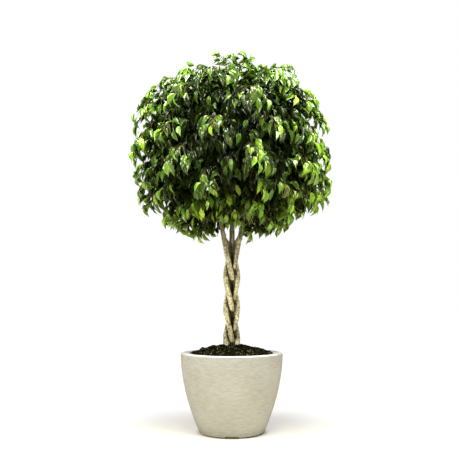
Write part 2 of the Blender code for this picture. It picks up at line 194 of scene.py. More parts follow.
def along(path: list[Vector], share: float) -> tuple[Vector, Vector]:
    """Go a share of the way along a path.

    Args:
        path: the points of the path.
        share: the share of its length, from 0 to 1.

    Returns:
        The point there, and the path's direction.
    """
    lengths = [(b - a).length for a, b in zip(path, path[1:])]
    left = share * sum(lengths)
    for a, b, length in zip(path, path[1:], lengths):
        if left <= length:
            return a.lerp(b, left / length), (b - a).normalized()
        left -= length
    return path[-1], (path[-1] - path[-2]).normalized()


# Height and distance from the middle, for each point that a leader passes above the plait.
OUTER_WAY: Pairs = ((0.805, 0.046), (0.935, 0.078), (1.085, 0.098), (1.235, 0.085))
MIDDLE_WAY: Pairs = ((0.805, 0.004), (0.935, 0.008), (1.085, 0.008), (1.235, 0.004))


@dataclass(frozen=True)
class Plait:
    """The four strands of the trunk, and the leaders that they grow on as, each an azimuth and its way.

    A pair of steps counts those in the plait, and those between two points of a leader's way.
    """

    radius: float = 0.0087
    period: float = 0.485
    half_width: float = 0.0212
    sway: float = 0.0024
    side_depth: float = 0.0190
    middle_depth: float = 0.0105
    left: float = 0.6085
    order: tuple[int, ...] = (1, 0, 3, 2)
    foot: float = 0.324
    top: float = 0.705
    coarse_steps: tuple[int, int] = (17, 2)
    knot_steps: tuple[int, int] = (60, 4)
    fine_steps: tuple[int, int] = (108, 9)
    buried: float = 0.225
    foot_spread: float = 0.014
    foot_flare: float = 0.0012
    leaders: tuple[tuple[float, Pairs], ...] = (
        (210.0, OUTER_WAY),
        (90.0, OUTER_WAY),
        (330.0, OUTER_WAY),
        (30.0, MIDDLE_WAY),
    )
    tip_radius: float = 0.0045
    taper: float = 0.8
    skin_points: int = 49

    @property
    def strands(self) -> int:
        """How many strands there are."""
        return len(self.order)

    def turn(self, strand: int, height: float) -> float:
        """How far round its course a strand is at a height, from its place at the left."""
        return math.tau * ((self.left - height) / self.period + self.order[strand] / self.strands)

    def point(self, strand: int, height: float) -> Vector:
        """Find where a strand is at a height.

        Args:
            strand: which of the strands.
            height: the height, in the plait.

        Returns:
            The point on its middle line.
        """
        turn = self.turn(strand, height)
        across = -self.half_width * math.cos(turn) - self.sway * math.cos(3 * turn)
        depth = -self.side_depth * math.sin(2 * turn) - self.middle_depth * math.sin(turn)
        return Vector((across, depth, height))

    def path(self, strand: int, steps: int, leader_steps: int) -> list[Vector]:
        """Follow a stem the whole way, from its buried foot to its leader's tip.

        Args:
            strand: which of the strands.
            steps: steps in the plait.
            leader_steps: steps between the leader's way points.

        Returns:
            The points of its middle line.
        """
        coarse = spaced(self.foot, self.top, self.coarse_steps[0] + 1)
        before = self.point(strand, coarse[-2])
        plait = [self.point(strand, z) for z in spaced(self.foot, self.top, steps + 1)]
        outward = Vector((plait[0].x, plait[0].y, 0.0)).normalized()
        foot = plait[0] + outward * self.foot_spread
        foot.z = self.buried
        azimuth, leader = self.leaders[strand]
        way = [round_point(azimuth, radius, height) for height, radius in leader]
        return [foot, *plait[:-1], *smooth_path([before, plait[-1], *way], leader_steps)]

    def depth_under_skin(self, point: Vector) -> float:
        """Measure how deep a point lies under a skin stretched level round all the strands.

        Args:
            point: the point.

        Returns:
            The depth in metres, less than 0 outside the skin.
        """
        height = min(point.z, self.top)
        middles = np.array([self.point(strand, height)[:2] for strand in range(self.strands)])
        turns = np.array(spaced(0.0, math.tau, self.skin_points))
        ways = np.array((np.cos(turns), np.sin(turns)))
        skin = (middles @ ways).max(axis=0) + self.radius_at(height)
        return float((skin - np.array(point[:2]) @ ways).min())

    def radius_at(self, height: float) -> float:
        """Work out a stem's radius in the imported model.

        Args:
            height: the height on the stem.

        Returns:
            The radius there.
        """
        buried = max(0.0, (self.foot - height) / (self.foot - self.buried))
        share = max(0.0, (height - self.top) / (OUTER_WAY[-1][0] - self.top))
        radius = self.radius + self.foot_flare * buried
        return radius + (self.tip_radius - radius) * share**self.taper


@dataclass(frozen=True)
class CrownPlan:
    """Where the limbs and the sprays of the crown go, and the outline that its leaves fill."""

    plait: Plait
    tiers: tuple[Tier, ...] = (
        Tier(1, 0.026, 1.318, 84.0, -2.0, 0.185, -14.0),
        Tier(2, 0.118, 1.290, 50.0, -48.0, 0.215, 14.0),
        Tier(3, 0.180, 1.222, 36.0, -60.0, 0.230, -9.5),
        Tier(4, 0.210, 1.130, 24.0, -66.0, 0.225, 7.0),
        Tier(3, 0.215, 1.040, 14.0, -70.0, 0.220, -9.5),
        Tier(3, 0.210, 0.955, 4.0, -72.0, 0.200, 9.5),
        Tier(1, 0.105, 0.905, -8.0, -74.0, 0.175, 60.0),
    )
    seed: int = 994
    spread: float = 114.0
    seat_loose: float = 0.022
    azimuth_loose: float = 3.0
    pitch_loose: float = 6.0
    length_loose: float = 0.07
    seat_run: float = 0.012
    limb_fall: float = 0.60
    limb_bend: float = 0.45
    limb_clear: float = 3.0
    limb_steps: int = 10
    twig_steps: int = 4
    gap: float = 0.0003
    outline: Pairs = (
        (0.700, 0.080),
        (0.740, 0.140),
        (0.770, 0.200),
        (0.795, 0.265),
        (0.835, 0.300),
        (0.862, 0.370),
        (0.890, 0.388),
        (1.065, 0.408),
        (1.180, 0.405),
        (1.284, 0.380),
        (1.331, 0.348),
        (1.355, 0.310),
        (1.378, 0.275),
        (1.402, 0.240),
        (1.425, 0.175),
        (1.446, 0.080),
    )
    ragged: float = 0.052
    ragged_scale: float = 11.0
    ragged_place: Place = (33.4, 52.0, 17.2)
    gap_scale: float = 19.0
    gap_level: float = 0.16
    gap_depth: float = 0.085
    twig_margin: float = 0.008
    lit_depth: float = 0.022
    shaded_depth: float = 0.105

    def inside(self, point: Vector) -> float:
        """Measure how far inside the crown's outline a point is, sideways, upwards or downwards.

        Args:
            point: the point.

        Returns:
            The least of the three, in metres.
        """
        radius = math.hypot(point.x, point.y)
        heights, radii = zip(*self.outline)
        aside = float(np.interp(point.z, heights, radii)) - radius
        widest = radii.index(max(radii))
        above = float(np.interp(radius, radii[: widest - 1 : -1], heights[: widest - 1 : -1])) - point.z
        below = point.z - float(np.interp(radius, radii[: widest + 1], heights[: widest + 1]))
        return min(aside, above, below)

    def holds(self, tip: Vector) -> bool:
        """Say whether a leaf's tip lies in the ragged outline, and in none of the gaps at the crown's skin.

        Args:
            tip: where the leaf ends.

        Returns:
            Whether the crown holds it.
        """
        depth = self.inside(tip)
        if depth < self.gap_depth and noise.noise(tip * self.gap_scale) > self.gap_level:
            return False
        return depth > self.ragged * noise.noise(tip * self.ragged_scale + Vector(self.ragged_place))

    def trimmed(self, path: list[Vector]) -> list[Vector]:
        """Cut a twig's path off where it leaves the crown's outline.

        Args:
            path: the twig's points.

        Returns:
            The points that are left, at least two of them.
        """
        kept = path[:2]
        for point in path[2:]:
            if self.inside(point) < self.twig_margin:
                break
            kept.append(point)
        return kept

    def shade(self, point: Vector) -> float:
        """Work out how deep in the crown's own shade a point is.

        Args:
            point: the point.

        Returns:
            The shade, from 0 to 1.
        """
        if point.z < self.plait.top:
            return 0.0
        share = clamped((self.inside(point) - self.lit_depth) / self.shaded_depth)
        return share * share * (3 - 2 * share)

    def seats(self) -> list[Seat]:
        """Lay out the seats of all sprays, evenly round each outer stem's own third of the crown.

        Returns:
            The seats, in the order of their numbers.
        """
        seats = []
        for third, (azimuth, _) in enumerate(self.plait.leaders[:-1]):
            for tier in self.tiers:
                stem = self.plait.strands - 1 if tier is self.tiers[0] else third
                for place in range(tier.count):
                    offset = tier.turn + self.spread * ((place + 0.5) / tier.count - 0.5)
                    seats.append(self.seat(len(seats) + 1, stem, azimuth + offset, tier))
        return seats

    def seat(self, number: int, stem: int, azimuth: float, tier: Tier) -> Seat:
        """Lay out one seat, varied a little by a draw of the spray's own.

        Args:
            number: the spray's number.
            stem: the strand that carries it.
            azimuth: its direction from the trunk.
            tier: its tier.

        Returns:
            The seat.
        """
        draw = random.Random(self.seed + number)
        height = loose(draw, tier.height, self.seat_loose)
        distance = tier.distance - draw.uniform(0.0, self.seat_loose)
        turned = loose(draw, azimuth, self.azimuth_loose)
        last = loose(draw, tier.last_pitch, self.pitch_loose)
        length = tier.length * loose(draw, 1, self.length_loose)
        return Seat(number, stem, azimuth, height, distance, turned, tier.first_pitch, last, length)

    def limb(self, seat: Seat, steps: int) -> list[Vector]:
        """Bend a limb from its leader to the seat of its spray.

        Args:
            seat: the seat.
            steps: how many steps to take.

        Returns:
            The points of its middle line.
        """
        leader = self.plait.path(seat.stem, *self.plait.coarse_steps)
        end = round_point(seat.azimuth, seat.distance, seat.height)
        low = self.plait.top + self.limb_clear * self.plait.radius
        root = point_at_height(leader, max(seat.height - self.limb_fall * seat.distance, low))
        heading = pitched(seat.azimuth, seat.first_pitch)
        bend = end - heading * (end - root).length * self.limb_bend
        path = []
        for t in spaced(0.0, 1.0, steps + 1):
            path.append(root * (1 - t) ** 2 + bend * 2 * t * (1 - t) + end * t**2)
        return path

    def twig(self, seat: Seat, fine: int) -> list[Vector]:
        """Arch a spray's main twig over from its first pitch to its last.

        Args:
            seat: the spray's seat.
            fine: how many points to set for each bend of the twig.

        Returns:
            The points of its middle line.
        """
        limb = self.limb(seat, 2)
        heading = (limb[-1] - limb[-2]).normalized()
        start = limb[-1] + heading * self.gap
        path = [start - heading * self.seat_run, start, start + heading * self.seat_run]
        step = (seat.length - self.seat_run) / self.twig_steps
        for i in range(self.twig_steps):
            share = (i + 0.5) / self.twig_steps
            pitch = seat.first_pitch + (seat.last_pitch - seat.first_pitch) * share
            path.append(path[-1] + pitched(seat.turned, pitch) * step)
        return smooth_path(path, fine)


# Helpers for modelling


def deselect() -> None:
    """Leave edit mode and select nothing."""
    if bpy.context.object and bpy.context.object.mode != "OBJECT":
        bpy.ops.object.mode_set(mode="OBJECT")
    bpy.ops.object.select_all(action="DESELECT")


def activate(obj: Object) -> None:
    """Select one object alone.

    Args:
        obj: the object.
    """
    deselect()
    obj.select_set(True)
    bpy.context.view_layer.objects.active = obj


def edit_select(obj: Object, test: Callable[..., bool], kind: str = "VERT") -> None:
    """In edit mode, select only the parts of a mesh that pass a test.

    Args:
        obj: the object that is being edited.
        test: says of a BMesh vertex, edge or face whether to select it.
        kind: VERT, EDGE or FACE.
    """
    bpy.ops.mesh.select_mode(type=kind)
    bpy.ops.mesh.select_all(action="DESELECT")
    shape = bmesh.from_edit_mesh(obj.data)
    for item in {"VERT": shape.verts, "EDGE": shape.edges, "FACE": shape.faces}[kind]:
        if test(item):
            item.select_set(True)
    shape.select_flush_mode()
    bmesh.update_edit_mesh(obj.data)


def extrude_along(profile: list[Span]) -> None:
    """Extrude the selected ring from point to point of a profile, and close the last ring in its middle.

    Args:
        profile: the radius and height of each ring, the first where the selected one lies.
    """
    for (radius, height), (next_radius, next_height) in zip(profile, profile[1:]):
        bpy.ops.mesh.extrude_region_move(TRANSFORM_OT_translate={"value": (0.0, 0.0, next_height - height)})
        scale = next_radius / radius
        bpy.ops.transform.resize(value=(scale, scale, 1.0), center_override=(0.0, 0.0, next_height))
    bpy.ops.mesh.extrude_region_move()
    bpy.ops.mesh.merge(type="CENTER")


def tubes(name: str, runs: list[Tube], fineness: int) -> Object:
    """Lay round tubes along paths, as one mesh.

    Args:
        name: the object's name.
        runs: for each tube its points and its radius at each.
        fineness: 0 for four sides, and two more for each step.

    Returns:
        The mesh object.
    """
    curve = bpy.data.curves.new(name, "CURVE")
    curve.dimensions = "3D"
    curve.bevel_depth = 1.0
    curve.bevel_resolution = fineness
    curve.use_fill_caps = True
    for points, radii in runs:
        spline = curve.splines.new("POLY")
        spline.points.add(len(points) - 1)
        for spot, place, radius in zip(spline.points, points, radii):
            spot.co = (*place, 1.0)
            spot.radius = radius
    activate(new_object(name, curve))
    bpy.ops.object.convert(target="MESH")
    bpy.ops.object.mode_set(mode="EDIT")
    bpy.ops.mesh.select_all(action="SELECT")
    bpy.ops.mesh.remove_doubles(threshold=MERGE)
    bpy.ops.object.mode_set(mode="OBJECT")
    bpy.ops.object.shade_smooth()
    return bpy.context.object


def new_object(name: str, data: bpy.types.ID) -> Object:
    """Add an object to the scene.

    Args:
        name: its name.
        data: its mesh, curve, camera or light.

    Returns:
        The object.
    """
    obj = bpy.data.objects.new(name, data)
    bpy.context.scene.collection.objects.link(obj)
    return obj


def join(body: Object, other: Object) -> None:
    """Make another object's mesh part of the body's.

    Args:
        body: the object that stays.
        other: the one that goes into it.
    """
    activate(body)
    other.select_set(True)
    bpy.ops.object.join()


def note(obj: Object, key: str, values: list[float]) -> None:
    """Write a value for each vertex of a mesh, for its material to read."""
    obj.data.attributes.new(key, "FLOAT", "POINT").data.foreach_set("value", values)


def dress(obj: Object, finish: Finish) -> None:
    """Give all of a mesh one finish, in place of any that it has."""
    obj.data.materials.clear()
    obj.data.materials.append(finish.material)


def settle(obj: Object, name: str, node: str) -> Object:
    """Apply a piece's place, name it, and let it ride and stand for its node.

    Args:
        obj: the finished piece.
        name: its name.
        node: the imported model's node that it stands for.

    Returns:
        The piece.
    """
    activate(obj)
    bpy.ops.object.transform_apply(location=True, rotation=True, scale=True)
    obj.name = name
    obj.data.name = name
    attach(obj, "root")
    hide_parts(node)
    return obj


# Finishes


def linear(tint: Tint) -> Colour:
    """A colour given in screen values, as linear light with full alpha."""
    shares = [value / 255 for value in tint]
    return (*(s / 12.92 if s <= 0.04045 else ((s + 0.055) / 1.055) ** 2.4 for s in shares), 1.0)


class Tree:
    """A node tree that is being wired."""

    def __init__(self, tree: bpy.types.NodeTree) -> None:
        """Wrap a material's, a group's or the world's tree."""
        self.tree = tree
        self.column = 0

    def wire(self, node: Node, inputs: dict[str | int, Any]) -> None:
        """Give a node's inputs, by name or number, their values or sockets.

        Args:
            node: the node.
            inputs: what each input gets.
        """
        for key, value in inputs.items():
            if isinstance(value, Socket):
                self.tree.links.new(value, node.inputs[key])
            else:
                node.inputs[key].default_value = value

    def add(self, kind: str, inputs: dict[str | int, Any] | None = None, **settings: Any) -> Node:
        """Add a node.

        Args:
            kind: the node's type.
            inputs: values or sockets for its inputs, by name or number.
            settings: the node's own properties.

        Returns:
            The node.
        """
        node = self.tree.nodes.new(kind)
        node.location = (self.column * 190, -(self.column % 4) * 170)
        self.column += 1
        for key, value in settings.items():
            setattr(node, key, value)
        self.wire(node, inputs or {})
        return node

    def group(self, name: str, **inputs: Any) -> bpy.types.NodeOutputs:
        """Place a shared effect with its own values, and give its outputs."""
        given = {key.capitalize(): value for key, value in inputs.items()}
        return self.add("ShaderNodeGroup", given, node_tree=bpy.data.node_groups[name]).outputs

    def noted(self, name: str) -> Socket:
        """What the mesh notes under that name at each of its points."""
        return self.add("ShaderNodeAttribute", attribute_name=name).outputs["Fac"]

    def parts(self, vector: Socket) -> bpy.types.NodeOutputs:
        """The X, Y and Z of a vector."""
        return self.add("ShaderNodeSeparateXYZ", {0: vector}).outputs

    def math(self, operation: str, *values: Number, clamp: bool = False) -> Socket:
        """A Math node's result, from sockets or numbers."""
        node = self.add("ShaderNodeMath", dict(enumerate(values)), operation=operation, use_clamp=clamp)
        return node.outputs[0]

    def plus(self, base: Number, value: Number, share: float) -> Socket:
        """A share of one value added to another."""
        return self.math("ADD", base, self.math("MULTIPLY", value, share))

    def ramp(self, factor: Socket, low: float, high: float) -> Socket:
        """A factor stretched so that low gives 0 and high gives 1."""
        inputs = {"Value": factor, "From Min": low, "From Max": high}
        return self.add("ShaderNodeMapRange", inputs, interpolation_type="SMOOTHSTEP").outputs["Result"]

    def mix(self, factor: Socket, first: Socket | Colour, second: Colour) -> Socket:
        """A colour between two, by a factor."""
        return self.add("ShaderNodeMix", {0: factor, 6: first, 7: second}, data_type="RGBA").outputs[2]

    def lay(self, under: Socket, tint: Tint, mask: Socket, most: float = 1.0) -> Socket:
        """A tint laid over a colour by a mask, which covers it by that share at most."""
        return self.mix(self.math("MULTIPLY", mask, most), under, linear(tint))


def new_group(name: str, inputs: dict[str, float], outputs: list[str]) -> tuple[Tree, bpy.types.NodeOutputs]:
    """Start a shared effect: a node group with a Vector input, number inputs and number outputs.

    Args:
        name: the group's name.
        inputs: the number inputs, with their usual values.
        outputs: the names of the outputs.

    Returns:
        The tree, and the sockets that bring its inputs.
    """
    group = bpy.data.node_groups.new(name, "ShaderNodeTree")
    group.interface.new_socket("Vector", in_out="INPUT", socket_type="NodeSocketVector")
    for key, value in inputs.items():
        socket = group.interface.new_socket(key, in_out="INPUT", socket_type="NodeSocketFloat")
        socket.default_value = value
    for key in outputs:
        group.interface.new_socket(key, in_out="OUTPUT", socket_type="NodeSocketFloat")
    tree = Tree(group)
    return tree, tree.add("NodeGroupInput").outputs


def build_mottle() -> None:
    """Build the effect of soft clouds."""
    tree, given = new_group("Mottle", {"Scale": 20.0, "Low": 0.35, "High": 0.65}, ["Mask", "Raw"])
    inputs = {"Vector": given["Vector"], "Scale": given["Scale"], "Detail": 5.0, "Roughness": 0.6}
    cloud = tree.add("ShaderNodeTexNoise", inputs).outputs[0]
    tree.add("NodeGroupOutput", {"Mask": tree.ramp(cloud, given["Low"], given["High"]), "Raw": cloud})


def build_specks() -> None:
    """Build the effect of scattered round specks, in fewer than half of the cells."""
    tree, given = new_group("Specks", {"Scale": 300.0, "Size": 0.2}, ["Mask"])
    cells = tree.add("ShaderNodeTexVoronoi", {"Vector": given["Vector"], "Scale": given["Scale"]}).outputs
    inner = tree.math("MULTIPLY", given["Size"], 0.5)
    inputs = {"Value": cells["Distance"], "From Min": inner, "From Max": given["Size"]}
    falling = {"To Min": 1.0, "To Max": 0.0}
    near = tree.add("ShaderNodeMapRange", inputs | falling, interpolation_type="SMOOTHSTEP").outputs["Result"]
    chance = tree.add("ShaderNodeSeparateColor", {0: cells["Color"]}).outputs[0]
    some = tree.math("GREATER_THAN", chance, 0.55)
    tree.add("NodeGroupOutput", {"Mask": tree.math("MULTIPLY", near, some)})


def build_brushing() -> None:
    """Build the effect of fine level lines that wander a little."""
    tree, given = new_group("Brushing", {"Scale": 9.0, "Stretch": 26.0, "Wander": 0.02}, ["Height"])
    wander = tree.add("ShaderNodeTexNoise", {"Vector": given["Vector"], "Scale": 14.0, "Detail": 2.0})
    x, y, z = tree.parts(given["Vector"])
    moved = tree.math("MULTIPLY", tree.math("SUBTRACT", wander.outputs[0], 0.5), given["Wander"])
    rise = tree.math("MULTIPLY", tree.math("ADD", z, moved), given["Stretch"])
    lain = tree.add("ShaderNodeCombineXYZ", {0: x, 1: y, 2: rise}).outputs[0]
    inputs = {"Vector": lain, "Scale": given["Scale"], "Detail": 6.0, "Roughness": 0.66}
    tree.add("NodeGroupOutput", {"Height": tree.add("ShaderNodeTexNoise", inputs).outputs[0]})


@dataclass(frozen=True, kw_only=True)
class Skin:
    """What every finish states. Each kind paints itself."""

    name: str
    roughness: float
    gloss: float
    bump: Span

    def paint(self, tree: Tree, place: Socket) -> Paint:
        """Paint the finish.

        Args:
            tree: the material's tree.
            place: the point's place on its piece.

        Returns:
            The colour, the relief, and any other inputs of the shader.
        """
        raise NotImplementedError

    def material(self) -> bpy.types.Material:
        """Build the material round the painted colour and relief.

        Returns:
            The material.
        """
        made = bpy.data.materials.new(self.name)
        made.use_nodes = True
        tree = Tree(made.node_tree)
        colour, relief, others = self.paint(tree, tree.add("ShaderNodeTexCoord").outputs["Object"])
        strength, depth = self.bump
        bump = tree.add("ShaderNodeBump", {"Height": relief, "Strength": strength, "Distance": depth})
        own = {"Base Color": colour, "Normal": bump.outputs[0]}
        own |= {"Roughness": self.roughness, "Specular IOR Level": self.gloss}
        tree.wire(made.node_tree.nodes["Principled BSDF"], own | others)
        return made


@dataclass(frozen=True, kw_only=True)
class CastStone(Skin):
    """Pale cast stone, brushed sideways while wet: fine level lines, slanting scuffs and light specks, with
    painted shade at the foot and over the drain channels, and a painted highlight on the rim.
    """

    name: str = "brushed_stone"
    roughness: float = 0.82
    gloss: float = 0.25
    bump: Span = (0.50, 0.0021)
    pale: Tint = (153, 154, 148)
    dull: Tint = (146, 146, 139)
    dust: Tint = (170, 171, 166)
    dirt: Tint = (122, 121, 110)
    dirt_heights: Span = (0.075, 0.028)
    # Painted highlight: the top of the rim made near white, where the light from above falls on it.
    rim: Tint = (246, 245, 238)
    rim_highlight_heights: Span = (0.3070, 0.3094)
    # Painted shade: the stone darkened just above the floor, and in and round each drain channel's mouth.
    foot_shade: Tint = (58, 58, 48)
    foot_shade_heights: Span = (0.0066, 0.0034)
    channels: int = 3
    channel_span: Span = (0.80, 0.88)
    channel_shade_heights: Span = (0.0100, 0.0070)
    scuff_turn: Place = (0.5, 0.42, 0.0)

    def paint(self, tree: Tree, place: Socket) -> Paint:
        """Paint clouds, lines, scuffs and specks, dirt low down, painted shade at the foot and over the drain
        channels, and a painted highlight on the rim.

        Args:
            tree: the material's tree.
            place: the point's place on its piece.

        Returns:
            The colour, the relief, and any other inputs of the shader.
        """
        turned = tree.add("ShaderNodeMapping", {"Vector": place, "Rotation": self.scuff_turn}).outputs[0]
        (lines,) = tree.group("Brushing", vector=place, scale=42.0, stretch=7.5, wander=0.012)
        (scuffs,) = tree.group("Brushing", vector=turned, scale=40.0, stretch=5.0, wander=0.02)
        clouds, cloud_relief = tree.group("Mottle", vector=place, scale=9.0, low=0.36, high=0.66)
        (specks,) = tree.group("Specks", vector=place, scale=150.0, size=0.13)
        height = tree.parts(place)[2]
        scuffed = tree.ramp(scuffs, 0.60, 0.72)
        splash = tree.ramp(tree.plus(height, cloud_relief, 0.05), *self.dirt_heights)
        colour = tree.mix(clouds, linear(self.dull), linear(self.pale))
        colour = tree.lay(colour, self.dust, tree.ramp(lines, 0.42, 0.64), most=0.42)
        colour = tree.lay(colour, self.dust, scuffed, most=0.45)
        colour = tree.lay(colour, self.dirt, tree.ramp(lines, 0.46, 0.32), most=0.32)
        colour = tree.lay(colour, self.dust, specks, most=0.80)
        colour = tree.lay(colour, self.dirt, splash, most=0.30)
        # Painted shade at the foot and over the drain channels.
        colour = tree.lay(colour, self.foot_shade, tree.ramp(height, *self.foot_shade_heights), most=0.85)
        colour = tree.lay(colour, self.foot_shade, self.channel_shade(tree, place))
        # Painted highlight on the top of the rim.
        colour = tree.lay(colour, self.rim, tree.ramp(height, *self.rim_highlight_heights))
        grit = tree.group("Mottle", vector=place, scale=420.0)["Raw"]
        return colour, tree.plus(tree.plus(lines, scuffed, 0.25), grit, 0.30), {}

    def channel_shade(self, tree: Tree, place: Socket) -> Socket:
        """Mask the low edge over each drain channel, where painted shade darkens the stone in and round the
        channel.

        Args:
            tree: the material's tree.
            place: the point's place on the planter.

        Returns:
            The mask, 1 over the channels.
        """
        x, y, height = tree.parts(place)
        turn = tree.math("ARCTAN2", x, tree.math("MULTIPLY", y, -1.0))
        beat = tree.math("COSINE", tree.math("MULTIPLY", turn, float(self.channels)))
        across = tree.ramp(beat, *self.channel_span)
        return tree.math("MULTIPLY", across, tree.ramp(height, *self.channel_shade_heights))


@dataclass(frozen=True, kw_only=True)
class Compost(Skin):
    """Dark damp compost of bark and peat, with paler fibres and drier crumbs."""

    name: str = "crumbly_compost"
    roughness: float = 0.93
    gloss: float = 0.04
    bump: Span = (0.9, 0.004)
    dark: Tint = (5, 6, 2)
    brown: Tint = (34, 34, 18)
    pale: Tint = (168, 160, 116)

    def paint(self, tree: Tree, place: Socket) -> Paint:
        """Paint lumps, crumbs and pale flecks.

        Args:
            tree: the material's tree.
            place: the point's place on its piece.

        Returns:
            The colour, the relief, and any other inputs of the shader.
        """
        lumps, lump_relief = tree.group("Mottle", vector=place, scale=90.0, low=0.40, high=0.66)
        crumbs, crumb_relief = tree.group("Mottle", vector=place, scale=380.0, low=0.42, high=0.62)
        (flecks,) = tree.group("Specks", vector=place, scale=150.0, size=0.50)
        dry = tree.math("MULTIPLY", flecks, tree.ramp(lump_relief, 0.42, 0.56))
        colour = tree.mix(lumps, linear(self.dark), linear(self.brown))
        colour = tree.lay(colour, self.brown, crumbs, most=0.30)
        colour = tree.lay(colour, self.pale, dry, most=0.60)
        return colour, tree.plus(lump_relief, crumb_relief, 0.6), {}


@dataclass(frozen=True, kw_only=True)
class Bark(Skin):
    """Khaki bark: pale and grey-green patches, dark pits and cracks, and painted shade where stems press
    together, deep in the plait and under the crown.
    """

    name: str = "pitted_bark"
    roughness: float = 0.8
    gloss: float = 0.08
    bump: Span = (0.8, 0.0018)
    light: Tint = (232, 225, 188)
    khaki: Tint = (150, 143, 98)
    green: Tint = (102, 100, 56)
    crack: Tint = (44, 39, 20)
    # The near-black colour of the painted shade.
    painted_shade: Colour = (0.010, 0.009, 0.004, 1.0)
    patch_scale: float = 110.0
    pit_scale: float = 330.0
    crack_scale: float = 210.0
    stretch: float = 0.22

    def paint(self, tree: Tree, place: Socket) -> Paint:
        """Paint patches, moss, cracks, pits and pores, and lay on the painted shade that the mesh notes.

        Args:
            tree: the material's tree.
            place: the point's place on its piece.

        Returns:
            The colour, the relief, and any other inputs of the shader.
        """
        drawn = tree.add("ShaderNodeMapping", {"Vector": place, "Scale": (1.0, 1.0, self.stretch)}).outputs[0]
        patches, relief = tree.group("Mottle", vector=place, scale=self.patch_scale, low=0.38, high=0.60)
        moss = tree.group("Mottle", vector=drawn, scale=self.patch_scale * 0.6, low=0.50, high=0.66)["Mask"]
        cracks = tree.group("Mottle", vector=drawn, scale=self.crack_scale, low=0.46, high=0.36)["Mask"]
        pits = tree.group("Mottle", vector=place, scale=self.pit_scale, low=0.47, high=0.36)["Mask"]
        (pores,) = tree.group("Specks", vector=place, scale=260.0, size=0.24)
        colour = tree.mix(patches, linear(self.khaki), linear(self.light))
        colour = tree.lay(colour, self.green, moss, most=0.65)
        colour = tree.lay(colour, self.crack, cracks, most=0.50)
        colour = tree.lay(colour, self.crack, pits, most=0.40)
        colour = tree.lay(colour, self.light, pores, most=0.45)
        # Painted shade, where the mesh notes it: between strands, deep in the plait and under the crown.
        colour = tree.mix(tree.math("MULTIPLY", tree.noted("shade"), 0.92), colour, self.painted_shade)
        return colour, tree.plus(tree.plus(relief, cracks, -0.5), pits, -0.5), {}


@dataclass(frozen=True, kw_only=True)
class LeafSkin(Skin):
    """Glossy leaves: dark when old, yellow-green when young, with a paler midrib and faint side veins, and
    painted shade that darkens them and dims their gloss.
    """

    name: str = "glossy_leaf"
    roughness: float = 0.25
    gloss: float = 0.90
    bump: Span = (0.35, 0.0006)
    old: Tint = (19, 44, 10)
    grown: Tint = (98, 146, 28)
    young: Tint = (168, 212, 38)
    rib: Tint = (176, 206, 104)
    # The near-black colour of the painted shade, for leaves deep in the crown.
    inner: Tint = (2, 4, 1)
    sheen_tint: Colour = (0.97, 1.0, 0.80, 1.0)

    def paint(self, tree: Tree, place: Socket) -> Paint:
        """Paint the blade by its age and its map, and lay on the painted shade that the mesh notes, which
        also dims its gloss.

        Args:
            tree: the material's tree.
            place: the point's place on its piece.

        Returns:
            The colour, the relief, and any other inputs of the shader.
        """
        run, side, _ = tree.parts(tree.add("ShaderNodeUVMap", uv_map="blade").outputs[0])
        across = tree.math("ABSOLUTE", tree.math("SUBTRACT", side, 0.5))
        cloud = tree.group("Mottle", vector=place, scale=60.0)["Raw"]
        patchy = tree.math("MULTIPLY", tree.math("SUBTRACT", cloud, 0.5), 0.35)
        aged = tree.math("ADD", tree.noted("age"), patchy, clamp=True)
        wave = tree.math("SINE", tree.math("MULTIPLY", tree.plus(run, across, -0.55), 75.0))
        veins = tree.math("MULTIPLY", tree.ramp(wave, 0.78, 1.0), 0.16)
        rib = tree.ramp(across, 0.045, 0.012)
        shaded = tree.noted("shade")
        colour = tree.mix(tree.ramp(aged, 0.0, 0.5), linear(self.old), linear(self.grown))
        colour = tree.lay(colour, self.young, tree.ramp(aged, 0.55, 1.0))
        colour = tree.lay(colour, self.rib, veins)
        colour = tree.lay(colour, self.rib, rib, most=0.60)
        # Painted shade: the crown's shade darkens the leaf to near black and dims its gloss.
        colour = tree.lay(colour, self.inner, shaded, most=0.95)
        gloss = tree.math("MULTIPLY", tree.plus(1.0, shaded, -0.90), self.gloss)
        relief = tree.math("SUBTRACT", tree.math("MULTIPLY", cloud, 0.4), rib)
        others = {"Specular IOR Level": gloss, "Specular Tint": self.sheen_tint}
        return colour, tree.math("SUBTRACT", relief, veins), others


class Finish(Enum):
    """The finishes of the plant and its planter."""

    STONE = CastStone()
    COMPOST = Compost()
    BARK = Bark()
    TWIG = Bark(
        name="twig_bark",
        light=(138, 122, 78),
        khaki=(104, 90, 52),
        green=(84, 86, 42),
        crack=(60, 46, 26),
        patch_scale=120.0,
        pit_scale=500.0,
        crack_scale=260.0,
        stretch=1.0,
    )
    LEAF = LeafSkin()

    @property
    def material(self) -> bpy.types.Material:
        """The finish's material, built when it is first asked for."""
        return bpy.data.materials.get(self.value.name) or self.value.material()


# The planter


